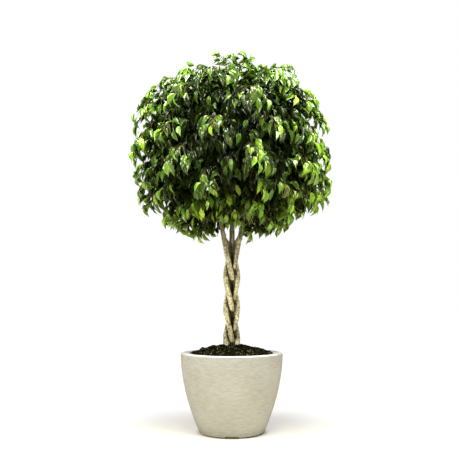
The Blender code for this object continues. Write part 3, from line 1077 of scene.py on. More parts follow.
@dataclass
class Planter:
    """The turned planter, with its broad rim, rounded foot, drain channels and drain holes."""

    height: float = 0.310
    rim_radius: float = 0.1995
    base_radius: float = 0.126
    wall_curve: float = 1.9
    rim_width: float = 0.037
    rim_depth: float = 0.024
    rim_slope: float = 0.012
    wall: float = 0.015
    floor: float = 0.022
    edge_round: float = 0.006
    foot_round: float = 0.011
    round_step: int = 18
    smooth_angle: float = 32.0
    sides: int = 144
    outer_rings: int = 26
    inner_rings: int = 8
    channels: int = 3
    channel_width: float = 0.048
    channel_height: float = 0.0055
    channel_round: float = 0.0022
    channel_inner_end: float = 0.060
    drain_radius: float = 0.009
    drain_ring: float = 0.075
    drain_sides: int = 32
    uneven: float = 0.0006
    uneven_size: float = 0.05

    def wall_radius(self, height: float) -> float:
        """The outer radius at a height: a curve that draws in towards the floor."""
        below = 1 - height / self.height
        return self.rim_radius - (self.rim_radius - self.base_radius) * below**self.wall_curve

    def corner(self, radius: float, height: float, size: float, start: float) -> list[Span]:
        """Round a corner off by a quarter turn.

        Args:
            radius: how far from the planter's axis the rounding's middle is.
            height: how high it is.
            size: the rounding's own radius.
            start: the angle of its last point, in degrees.

        Returns:
            The points, anticlockwise up to that angle.
        """
        turns = [math.radians(start - turn) for turn in range(90, -1, -self.round_step)]
        return [(radius + size * math.cos(turn), height + size * math.sin(turn)) for turn in turns]

    def profile(self) -> list[Span]:
        """Draw the planter's outline.

        Returns:
            Radius and height from the underside's middle up the outside, over the rim and down inside.
        """
        lip = self.rim_radius - self.rim_width
        top = self.height - self.edge_round
        under_lip = self.height - self.rim_depth
        outside = [(self.wall_radius(z), z) for z in spaced(self.foot_round, top, self.outer_rings)]
        heights = spaced(under_lip - self.rim_slope, self.floor, self.inner_rings)
        foot_radius = outside[0][0]
        return [
            (foot_radius - 3 * self.foot_round, 0.0),
            *self.corner(foot_radius - self.foot_round, self.foot_round, self.foot_round, 360)[:-1],
            *outside,
            *self.corner(outside[-1][0] - self.edge_round, top, self.edge_round, 90)[1:],
            *self.corner(lip + self.edge_round, top, self.edge_round, 180),
            (lip, under_lip),
            *((self.wall_radius(z) - self.wall, z) for z in heights),
            (self.drain_ring / 2, self.floor),
        ]

    def build(self) -> Object:
        """Extrude a circle ring by ring along the profile, then cut the channels and the drains.

        Returns:
            The planter.
        """
        profile = self.profile()
        radius, height = profile[0]
        deselect()
        bpy.ops.mesh.primitive_circle_add(vertices=self.sides, radius=radius, location=(0, 0, height))
        pot = bpy.context.object
        bpy.ops.object.mode_set(mode="EDIT")
        bpy.ops.mesh.select_all(action="SELECT")
        bpy.ops.mesh.extrude_region_move()
        bpy.ops.mesh.merge(type="CENTER")
        edit_select(pot, lambda vertex: vertex.co.xy.length > radius / 2)
        extrude_along(profile)
        bpy.ops.mesh.select_all(action="SELECT")
        bpy.ops.mesh.remove_doubles(threshold=MERGE)
        bpy.ops.mesh.normals_make_consistent(inside=False)
        bpy.ops.object.mode_set(mode="OBJECT")
        self.make_uneven(pot)
        for number in range(self.channels):
            angle = math.tau * number / self.channels - math.tau / 4
            self.cut(pot, self.channel_cutter(angle))
            self.cut(pot, self.drain_cutter(angle))
        activate(pot)
        bpy.ops.object.shade_smooth_by_angle(angle=math.radians(self.smooth_angle))
        dress(pot, Finish.STONE)
        return settle(pot, "planter_stone", "planter")

    def make_uneven(self, pot: Object) -> None:
        """Draw the wall in here and there by less than a millimetre, as on hand-finished stone.

        Args:
            pot: the planter.
        """
        for vertex in pot.data.vertices:
            x, y, z = vertex.co
            if z > self.foot_round and math.hypot(x, y) > self.rim_radius / 2:
                depth = self.uneven * (0.5 + 0.5 * noise.noise(Vector((x, y, 2 * z)) / self.uneven_size))
                vertex.co -= Vector((x, y, 0.0)).normalized() * depth

    def channel_cutter(self, angle: float) -> Object:
        """Make the box, rounded along its upper edges, that cuts a drain channel.

        Args:
            angle: the channel's direction from the middle.

        Returns:
            The box.
        """
        run = self.rim_radius - self.channel_inner_end
        place = Vector((math.cos(angle), math.sin(angle), 0.0)) * (self.channel_inner_end + run / 2)
        deselect()
        bpy.ops.mesh.primitive_cube_add(size=1.0, location=place, rotation=(0, 0, angle))
        box = bpy.context.object
        box.scale = (run, self.channel_width, 2 * self.channel_height)
        bpy.ops.object.transform_apply(location=False, rotation=False, scale=True)
        bpy.ops.object.mode_set(mode="EDIT")
        edit_select(box, lambda edge: all(v.co.z > 0 for v in edge.verts), "EDGE")
        bpy.ops.mesh.bevel(offset=self.channel_round, segments=3)
        bpy.ops.object.mode_set(mode="OBJECT")
        return box

    def drain_cutter(self, angle: float) -> Object:
        """Make the rod that cuts the drain hole of a channel.

        Args:
            angle: the channel's direction from the middle.

        Returns:
            The rod.
        """
        place = Vector((math.cos(angle), math.sin(angle), 0.0)) * self.drain_ring
        deselect()
        bpy.ops.mesh.primitive_cylinder_add(
            vertices=self.drain_sides, radius=self.drain_radius, depth=4 * self.floor, location=place
        )
        return bpy.context.object

    def cut(self, pot: Object, cutter: Object) -> None:
        """Cut one shape out of the planter, and remove it.

        Args:
            pot: the planter.
            cutter: the shape.
        """
        activate(pot)
        modifier = pot.modifiers.new("cut", "BOOLEAN")
        modifier.operation = "DIFFERENCE"
        modifier.object = cutter
        modifier.solver = "EXACT"
        bpy.ops.object.modifier_apply(modifier=modifier.name)
        bpy.data.objects.remove(cutter)


# The soil


@dataclass
class Soil:
    """The mounded compost, with crumbs and bits of bark lying on it."""

    planter: Planter
    gap: float = 0.0003
    below_rim: float = 0.005
    rise: float = 0.034
    slope: float = 1.6
    edge: int = 6
    lump: float = 0.008
    lump_size: float = 0.024
    fine_lumps: Pairs = ((0.014, 0.0050), (0.0060, 0.0022))
    fine_level: float = 0.37
    fine_edge: int = 12
    sides: int = 160
    rings: int = 46
    sunk_rings: int = 5
    crumbs: int = 2300
    crumb_size: Span = (0.0018, 0.0096)
    crumb_shape: Pairs = ((0.7, 1.7), (0.6, 1.1), (0.4, 0.9))
    small_crumbs: int = 3
    crumb_tip: float = 0.6
    crumb_margin: float = 0.004
    crumb_rise: float = 0.15
    seed: int = 5

    @property
    def mouth(self) -> float:
        """The soil's radius at its top."""
        return self.planter.rim_radius - self.planter.rim_width - self.gap

    @property
    def top(self) -> float:
        """The soil's height at its edge."""
        return self.planter.height - self.below_rim

    def height_at(self, x: float, y: float) -> float:
        """Work out the height of the mound at a place.

        Args:
            x: how far to the right it is.
            y: how far back it is.

        Returns:
            The height.
        """
        share = min(1.0, math.hypot(x, y) / (self.mouth + self.gap))
        lump = self.lump * noise.noise(Vector((x, y, 0.0)) / self.lump_size)
        mound = self.rise * (1 - share**self.slope) + lump * (1 - share**self.edge)
        fine = 0.0
        for size, depth in self.fine_lumps:
            fine += depth * noise.noise(Vector((x, y, self.fine_level)) / size)
        return self.top + mound + fine * (1 - share**self.fine_edge)

    def build(self) -> Object:
        """Inset a disc ring by ring, carry its edge down inside the planter, and raise it to the mound.

        Returns:
            The soil.
        """
        deselect()
        bpy.ops.mesh.primitive_circle_add(
            vertices=self.sides, radius=self.mouth, fill_type="NGON", location=(0, 0, self.top)
        )
        body = bpy.context.object
        bpy.ops.object.mode_set(mode="EDIT")
        bpy.ops.mesh.select_all(action="SELECT")
        for _ in range(self.rings - 1):
            bpy.ops.mesh.inset(thickness=self.mouth / self.rings, depth=0.0)
        bpy.ops.mesh.poke()
        edit_select(body, lambda edge: len(edge.link_faces) == 1, "EDGE")
        extrude_along([(self.mouth, self.top), *self.sunk_profile()])
        bpy.ops.mesh.select_all(action="SELECT")
        bpy.ops.mesh.normals_make_consistent(inside=False)
        bpy.ops.object.mode_set(mode="OBJECT")
        bpy.ops.object.transform_apply(location=True)
        for vertex in body.data.vertices:
            x, y, z = vertex.co
            if z > self.top - self.gap and math.hypot(x, y) < self.mouth - self.gap:
                vertex.co.z = self.height_at(x, y)
        bpy.ops.object.shade_smooth()
        join(body, self.scatter_crumbs())
        dress(body, Finish.COMPOST)
        return settle(body, "soil_mound", "soil")

    def sunk_profile(self) -> list[Span]:
        """Draw the soil's side inside the planter.

        Returns:
            Radius and height, from the rim down.
        """
        pot = self.planter
        under_lip = pot.height - pot.rim_depth - self.gap
        heights = spaced(under_lip - pot.rim_slope, pot.floor + self.gap, self.sunk_rings)
        return [(self.mouth, under_lip), *((pot.wall_radius(z) - pot.wall - self.gap, z) for z in heights)]

    def crumb(self) -> Object:
        """Press and pull a ball into a crumb.

        Returns:
            The crumb.
        """
        middle = (0.0, 0.0, 0.0)
        deselect()
        bpy.ops.mesh.primitive_ico_sphere_add(subdivisions=1, radius=1.0)
        made = bpy.context.object
        bpy.ops.object.mode_set(mode="EDIT")
        edit_select(made, lambda vertex: vertex.co.z > 0.3)
        bpy.ops.transform.resize(value=(0.75, 1.1, 0.7), center_override=middle)
        edit_select(made, lambda vertex: vertex.co.x > 0.5)
        bpy.ops.transform.translate(value=(0.35, 0.1, -0.1))
        edit_select(made, lambda vertex: vertex.co.y < -0.5)
        bpy.ops.transform.resize(value=(0.8, 0.75, 1.15), center_override=middle)
        bpy.ops.object.mode_set(mode="OBJECT")
        return made

    def scatter_crumbs(self) -> Object:
        """Copy the crumb all over the mound, turned and sized by a seeded draw.

        Returns:
            The crumbs.
        """
        draw = random.Random(self.seed)
        one = self.crumb()
        corners = np.array([vertex.co[:] for vertex in one.data.vertices])
        faces = [tuple(face.vertices) for face in one.data.polygons]
        bpy.data.objects.remove(one)
        low, high = self.crumb_size
        points: list[Place] = []
        made: list[tuple[int, ...]] = []
        for _ in range(self.crumbs):
            away = (self.mouth - self.crumb_margin) * math.sqrt(draw.random())
            turn = draw.uniform(0.0, math.tau)
            x, y = away * math.cos(turn), away * math.sin(turn)
            size = low + (high - low) * draw.random() ** self.small_crumbs
            shape = np.array([draw.uniform(*span) for span in self.crumb_shape])
            tip, _ = (draw.uniform(-self.crumb_tip, self.crumb_tip) for _ in range(2))
            spin = draw.uniform(0.0, math.tau)
            turned = np.array(Matrix.Rotation(spin, 3, "Z") @ Matrix.Rotation(tip, 3, "X"))
            place = (x, y, self.height_at(x, y) + size * self.crumb_rise)
            start = len(points)
            points.extend(map(tuple, (corners * shape * size) @ turned.T + place))
            made.extend(tuple(corner + start for corner in face) for face in faces)
        mesh = bpy.data.meshes.new("crumbs")
        mesh.from_pydata(points, [], made)
        return new_object("crumbs", mesh)


# The stems


@dataclass
class Stem:
    """One stem: its strand of the plait, pressed against the others, its leader and its limbs."""

    number: int
    plan: CrownPlan
    seats: list[Seat]
    fineness: int = 6
    limb_fineness: int = 2
    pressed: float = 0.0006
    pressed_run: float = 0.12
    inward: float = 0.0240
    inward_power: float = 1.5
    core: float = 0.0005
    web_start: float = 0.03
    web_run: float = 0.02
    web_end: Span = (0.725, 0.765)
    web_overlap: float = 0.0010
    limb_root: float = 0.0046
    limb_root_share: float = 0.6
    limb_tip: float = 0.0029
    limb_flare: float = 0.0016
    flare_fall: float = 6.0
    # Painted shade: near another strand, deep under the skin round the plait, and under the crown.
    painted_shade_reach: float = 0.0030
    painted_shade_depth: Span = (0.0009, 0.0046)
    painted_shade_end: Span = (0.730, 0.790)
    crown_shade: float = 0.85
    crown_foot: Span = (0.560, 0.800)
    foot_swell: float = 0.0014
    foot_height: float = 0.338
    foot_reach: float = 0.020
    knots: int = 12
    knot_size: float = 0.0016
    knot_reach: Span = (0.006, 0.011)
    knots_above: float = 0.1
    ridge: float = 0.0006
    ridge_scale: float = 150.0
    ridge_stretch: float = 0.35
    swell: float = 0.0009
    swell_scale: float = 42.0
    seed: int = 21

    def radius(self, height: float) -> float:
        """Work out the stem's radius, thicker where the strands press and at the soil.

        Args:
            height: the height on the stem.

        Returns:
            The radius there.
        """
        plait = self.plan.plait
        above = clamped((height - plait.top) / self.pressed_run)
        swell = self.foot_swell * math.exp(-(((height - self.foot_height) / self.foot_reach) ** 2))
        packed = plait.radius_at(height) + self.pressed * (1 - above)
        return packed + (swell if height > plait.foot - self.web_start else 0.0)

    def build(self) -> Object:
        """Sweep the stem and its limbs, roughen the bark, and join them.

        Returns:
            The stem.
        """
        plait = self.plan.plait
        path = plait.path(self.number - 1, *plait.fine_steps)
        trunk = tubes("trunk", [(path, [self.radius(point.z) for point in path])], self.fineness)
        self.grow_inwards(trunk)
        # The painted shade deep in the plait and near the other strands, worked out before the bark is
        # roughened.
        painted_shade = self.painted_shade(trunk)
        self.roughen(trunk)
        limbs = tubes("limbs", [self.limb(seat) for seat in self.seats], self.limb_fineness)
        # Note the painted shade, with the crown's, on the strand and on the limbs.
        self.note_shade(trunk, painted_shade)
        self.note_shade(limbs, [0.0] * len(limbs.data.vertices))
        join(trunk, limbs)
        dress(trunk, Finish.BARK)
        return settle(trunk, f"stem_{self.number}_bark", f"stem_{self.number}")

    def limb(self, seat: Seat) -> Tube:
        """Lay out the limb that carries a spray, flared where it leaves the leader.

        Args:
            seat: the spray's seat.

        Returns:
            Its points and its radius at each.
        """
        path = self.plan.limb(seat, self.plan.limb_steps)
        root = min(self.limb_root, self.limb_root_share * self.plan.plait.radius_at(path[0].z))
        radii = []
        for t in spaced(0.0, 1.0, len(path)):
            flare = self.limb_flare * max(0.0, 1 - self.flare_fall * t)
            radii.append(self.limb_tip + (root - self.limb_tip) * (1 - t) + flare)
        return path, radii

    def grow_inwards(self, trunk: Object) -> None:
        """Push the side of the strand that faces the plait's middle on towards it, as pressed wood grows;
        deep in the plait the painted shade makes that side near black.

        Args:
            trunk: the strand.
        """
        low, high = self.web_end
        foot = self.plan.plait.foot
        normals = [vertex.normal.copy() for vertex in trunk.data.vertices]
        for vertex, normal in zip(trunk.data.vertices, normals):
            x, y, z = vertex.co
            away = math.hypot(x, y)
            ends = min(1.0, (high - z) / (high - low), (z - foot + self.web_start) / self.web_run)
            if ends <= 0.0 or away < self.core:
                continue
            inwards = Vector((-x / away, -y / away, 0.0))
            facing = max(0.0, normal.dot(inwards)) ** self.inward_power
            vertex.co += inwards * min(self.inward * facing * ends, away + self.web_overlap)

    def painted_shade(self, trunk: Object) -> list[float]:
        """Work out the painted shade that darkens the bark deep in the plait and near another strand.

        Args:
            trunk: the strand.

        Returns:
            The painted shade at each of its vertices, from 0 to 1.
        """
        plait = self.plan.plait
        others = []
        for strand in range(plait.strands):
            if strand != self.number - 1:
                path = plait.path(strand, *plait.fine_steps)
                others.append((np.array(path), np.array([plait.radius_at(point.z) for point in path])))
        clear, dark = self.painted_shade_depth
        low, high = self.painted_shade_end
        found = []
        for vertex in trunk.data.vertices:
            place = np.array(vertex.co)
            gap = min(float((np.linalg.norm(path - place, axis=1) - radii).min()) for path, radii in others)
            near = 1 - gap / self.painted_shade_reach
            deep = (plait.depth_under_skin(vertex.co) - clear) / (dark - clear)
            kept = clamped((high - vertex.co.z) / (high - low))
            found.append(clamped(max(near, min(1.0, deep) * kept)))
        return found

    def note_shade(self, bark: Object, painted_shade: list[float]) -> None:
        """Note on the bark how much painted shade darkens it: that deep in the plait and near another strand,
        and that of the crown.

        Args:
            bark: the trunk or the limbs.
            painted_shade: the painted shade deep in the plait and near another strand, at each of its
                vertices.
        """
        low, high = self.crown_foot
        shades = []
        for least, vertex in zip(painted_shade, bark.data.vertices):
            under = clamped((vertex.co.z - low) / (high - low))
            shades.append(max(least, self.crown_shade * max(under, self.plan.shade(vertex.co))))
        note(bark, "shade", shades)

    def roughen(self, trunk: Object) -> None:
        """Raise knots and shallow ridges on the bark, along the normals.

        Args:
            trunk: the strand.
        """
        draw = random.Random(self.seed + self.number)
        plait = self.plan.plait
        path = plait.path(self.number - 1, *plait.knot_steps)
        spots = []
        for _ in range(self.knots):
            height = draw.uniform(plait.foot, plait.top + self.knots_above)
            angle = draw.uniform(0.0, math.tau)
            outward = Vector((math.cos(angle), math.sin(angle), 0.0))
            spot = point_at_height(path, height) + outward * self.radius(height)
            spots.append((spot, draw.uniform(*self.knot_reach)))
        normals = [vertex.normal.copy() for vertex in trunk.data.vertices]
        for vertex, normal in zip(trunk.data.vertices, normals):
            place = vertex.co.copy()
            drawn = Vector((place.x, place.y, place.z * self.ridge_stretch))
            lift = self.ridge * noise.noise(drawn * self.ridge_scale)
            lift += self.swell * noise.noise(place * self.swell_scale)
            for spot, reach in spots:
                lift += self.knot_size * math.exp(-(((place - spot).length / reach) ** 2))
            vertex.co = place + normal * lift


# The sprays


@dataclass
class LeafForm:
    """A leaf's outline and how it is folded, bent and twisted. Its length and its width are 1."""

    bend: float
    twist: float
    fold: float
    rows: tuple[float, ...] = (0.0, 0.05, 0.14, 0.28, 0.43, 0.57, 0.70, 0.83, 1.0)
    widths: tuple[float, ...] = (0.07, 0.38, 0.70, 0.94, 1.00, 0.88, 0.58, 0.20, 0.03)
    columns: int = 4
    puff: float = 0.034
    wave: float = 0.012
    wave_count: float = 17.0
    wave_lag: float = 1.7
    keel: float = 0.014
    flank_keel: float = 0.45
    spare_run: float = 0.02
    midrib: float = 0.004
    aside: float = 10.0
    near: float = 0.001

    def build(self) -> LeafPattern:
        """Shape a grid row by row into the blade, close it underneath, then bend and twist it.

        Returns:
            The leaf, ready to be copied.
        """
        steps = len(self.rows) - 1
        deselect()
        bpy.ops.mesh.primitive_grid_add(
            x_subdivisions=steps, y_subdivisions=self.columns, size=1.0, location=(0.5, 0, 0)
        )
        blade = bpy.context.object
        bpy.ops.object.transform_apply(location=True)
        bpy.ops.object.mode_set(mode="EDIT")
        for number in range(steps, -1, -1):
            now = number / steps
            edit_select(blade, lambda vertex, now=now: abs(vertex.co.x - now) < self.near)
            bpy.ops.transform.resize(value=(1.0, self.widths[number], 1.0), center_override=(now, 0.0, 0.0))
            bpy.ops.transform.translate(value=(self.rows[number] - now + self.aside, 0.0, 0.0))
        bpy.ops.mesh.select_all(action="SELECT")
        bpy.ops.transform.translate(value=(-self.aside, 0.0, 0.0))
        bpy.ops.object.mode_set(mode="OBJECT")
        self.mark_up(blade)
        self.close(blade)
        self.shape(blade)
        return LeafPattern.read(blade)

    def half_width(self, x: float) -> float:
        """Half the blade's width at its row nearest to a place on the midrib."""
        return min(zip(self.rows, self.widths), key=lambda row: abs(row[0] - x))[1] / 2

    def mark_up(self, blade: Object) -> None:
        """Lay the blade's own map over it, and lift its halves to the fold and the waved edge.

        Args:
            blade: the flat blade.
        """
        mesh = blade.data
        layer = mesh.uv_layers[0]
        layer.name = "blade"
        for loop in mesh.loops:
            place = mesh.vertices[loop.vertex_index].co
            half = self.half_width(place.x)
            layer.data[loop.index].uv = (place.x, 0.5 + 0.5 * place.y / max(half, self.near))
        for vertex in mesh.vertices:
            x, y, _ = vertex.co
            half = self.half_width(x)
            out = abs(y) / max(half, self.near)
            ripple = self.wave * math.sin(self.wave_count * x + (self.wave_lag if y > 0 else 0.0))
            lift = self.fold * out + self.puff * 4 * out * (1 - out) + ripple * out**2
            vertex.co.z += lift * 2 * half

    def close(self, blade: Object) -> None:
        """Give the blade an underside that meets it at the edge and has a keel under the midrib.

        Args:
            blade: the folded blade.
        """
        activate(blade)
        bpy.ops.object.mode_set(mode="EDIT")
        bpy.ops.mesh.select_all(action="SELECT")
        bpy.ops.mesh.duplicate()
        bpy.ops.mesh.flip_normals()
        shape = bmesh.from_edit_mesh(blade.data)
        # While the blade is made, material number 1 marks its underside.
        for face in shape.faces:
            face.material_index = int(face.select)
        for vertex in {v for face in shape.faces if face.select for v in face.verts}:
            if not any(edge.is_boundary for edge in vertex.link_edges):
                vertex.co.z -= self.keel * (1.0 if abs(vertex.co.y) < self.near else self.flank_keel)
        bmesh.update_edit_mesh(blade.data)
        bpy.ops.mesh.select_all(action="SELECT")
        bpy.ops.mesh.remove_doubles(threshold=MERGE)
        for edge in bmesh.from_edit_mesh(blade.data).edges:
            edge.smooth = len({face.material_index for face in edge.link_faces}) < 2
        edit_select(blade, self.spare, "EDGE")
        bpy.ops.mesh.dissolve_edges(use_verts=True)
        bpy.ops.object.mode_set(mode="OBJECT")

    def spare(self, edge: bmesh.types.BMEdge) -> bool:
        """Say whether an edge runs along the underside beside the keel, where none is needed.

        Args:
            edge: the edge.

        Returns:
            Whether it can go.
        """
        first, last = (vertex.co for vertex in edge.verts)
        below = {face.material_index for face in edge.link_faces} == {1}
        return below and abs(first.x - last.x) > self.spare_run and abs(first.y + last.y) / 2 > self.midrib

    def shape(self, blade: Object) -> None:
        """Twist the blade about its midrib, then tip it on edge, bend its tip down and lay it back.

        Args:
            blade: the closed blade.
        """
        activate(blade)
        quarter = math.pi / 2
        turns = (("TWIST", "X", self.twist, 0.0), ("BEND", "Z", self.bend, quarter))
        for method, axis, angle, tipped in turns:
            blade.rotation_euler.x = tipped
            bpy.ops.object.transform_apply(rotation=True)
            deform = blade.modifiers.new(method.lower(), "SIMPLE_DEFORM")
            deform.deform_method = method
            deform.deform_axis = axis
            deform.angle = math.radians(angle)
            bpy.ops.object.modifier_apply(modifier=deform.name)
        blade.rotation_euler.x = -quarter
        bpy.ops.object.transform_apply(rotation=True)


LEAF_FORMS = (
    LeafForm(bend=26.0, twist=18.0, fold=0.220),
    LeafForm(bend=44.0, twist=-22.0, fold=0.150),
    LeafForm(bend=14.0, twist=-12.0, fold=0.270),
    LeafForm(bend=60.0, twist=26.0, fold=0.110),
    LeafForm(bend=34.0, twist=8.0, fold=0.240),
)


@dataclass
class LeafPattern:
    """A finished leaf's corners, edges and faces, ready to be copied."""

    corners: np.ndarray
    edges: list[tuple[int, int]]
    sharp: list[bool]
    faces: list[tuple[int, ...]]
    places: list[Span]

    @classmethod
    def read(cls, blade: Object) -> LeafPattern:
        """Read a shaped blade, and remove it.

        Args:
            blade: the blade.

        Returns:
            The pattern.
        """
        mesh = blade.data
        pattern = cls(
            corners=np.array([vertex.co[:] for vertex in mesh.vertices]),
            edges=[tuple(edge.vertices) for edge in mesh.edges],
            sharp=[edge.use_edge_sharp for edge in mesh.edges],
            faces=[tuple(face.vertices) for face in mesh.polygons],
            places=[tuple(spot.uv) for spot in mesh.uv_layers["blade"].data],
        )
        bpy.data.objects.remove(blade)
        return pattern


@dataclass
class Leaf:
    """One leaf: where its stalk leaves the twig, where its blade starts, and how it hangs."""

    root: Vector
    stalk: Vector
    direction: Vector
    face: Vector
    length: float
    width: float
    age: float
    shade: float
    form: int

    @property
    def axes(self) -> tuple[Vector, Vector, Vector]:
        """The blade's own directions.

        Returns:
            Along the blade, across it, and out of its face.
        """
        x = self.direction.normalized()
        z = (self.face - x * self.face.dot(x)).normalized()
        return x, z.cross(x), z

    @property
    def tip(self) -> Vector:
        """Where an unbent leaf would end."""
        return self.root + self.stalk + self.direction * self.length


@dataclass
class Foliage:
    """Leaves gathered into one mesh."""

    patterns: list[LeafPattern]
    stalk_radius: float = 0.0008
    stalk_bend: float = 0.6
    stalk_sag: float = 0.05
    stalk_end: float = 0.0015
    stalk_ring: Pairs = ((0.0, 1.0), (0.87, -0.5), (-0.87, -0.5))
    points: list[Place] = field(default_factory=list)
    edges: list[tuple[int, int]] = field(default_factory=list)
    sharp: list[bool] = field(default_factory=list)
    faces: list[tuple[int, ...]] = field(default_factory=list)
    places: list[Span] = field(default_factory=list)
    ages: list[float] = field(default_factory=list)
    shades: list[float] = field(default_factory=list)

    def placed(self, leaf: Leaf) -> np.ndarray:
        """Put a leaf's blade in its place.

        Args:
            leaf: the leaf.

        Returns:
            The blade's corners.
        """
        turn = np.array(Matrix(leaf.axes).transposed())
        size = np.array((leaf.length, leaf.width, leaf.length))
        return (self.patterns[leaf.form].corners * size) @ turn.T + np.array(leaf.root + leaf.stalk)

    def add(self, leaf: Leaf) -> None:
        """Copy the leaf's pattern to its place, and bend a stalk from the twig to it.

        Args:
            leaf: the leaf.
        """
        pattern = self.patterns[leaf.form]
        start = len(self.points)
        self.points.extend(map(tuple, self.placed(leaf)))
        self.edges.extend((a + start, b + start) for a, b in pattern.edges)
        self.sharp.extend(pattern.sharp)
        self.faces.extend(tuple(corner + start for corner in face) for face in pattern.faces)
        self.places.extend(pattern.places)
        self.add_stalk(leaf)
        added = len(self.points) - start
        self.ages.extend([leaf.age] * added)
        self.shades.extend([leaf.shade] * added)

    def add_stalk(self, leaf: Leaf) -> None:
        """Add a three-sided stalk that leaves the twig one way and meets the blade another.

        Args:
            leaf: the leaf.
        """
        x, side, z = leaf.axes
        bend = leaf.root + leaf.stalk * self.stalk_bend - UP * leaf.stalk.length * self.stalk_sag
        into = leaf.root + leaf.stalk + x * self.stalk_end
        start = len(self.points)
        for middle in (leaf.root, bend, into):
            for across, high in self.stalk_ring:
                self.points.append((middle + (side * across + z * high) * self.stalk_radius)[:])
        pairs = [(ring + i, ring + (i + 1) % 3) for ring in (0, 3) for i in range(3)]
        faces = [*((a, b, b + 3, a + 3) for a, b in pairs), (0, 2, 1), (6, 7, 8)]
        self.faces.extend(tuple(corner + start for corner in face) for face in faces)
        self.places.extend([(0.5, 0.5)] * sum(map(len, faces)))

    def build(self, name: str) -> Object:
        """Make the mesh object.

        Args:
            name: its name.

        Returns:
            The leaves.
        """
        mesh = bpy.data.meshes.new(name)
        mesh.from_pydata(self.points, self.edges, self.faces)
        mesh.update()
        flags = self.sharp + [False] * (len(mesh.edges) - len(self.sharp))
        mesh.edges.foreach_set("use_edge_sharp", flags)
        mesh.polygons.foreach_set("use_smooth", [True] * len(mesh.polygons))
        layer = mesh.uv_layers.new(name="blade")
        layer.data.foreach_set("uv", [value for place in self.places for value in place])
        obj = new_object(name, mesh)
        note(obj, "age", self.ages)
        note(obj, "shade", self.shades)
        return obj


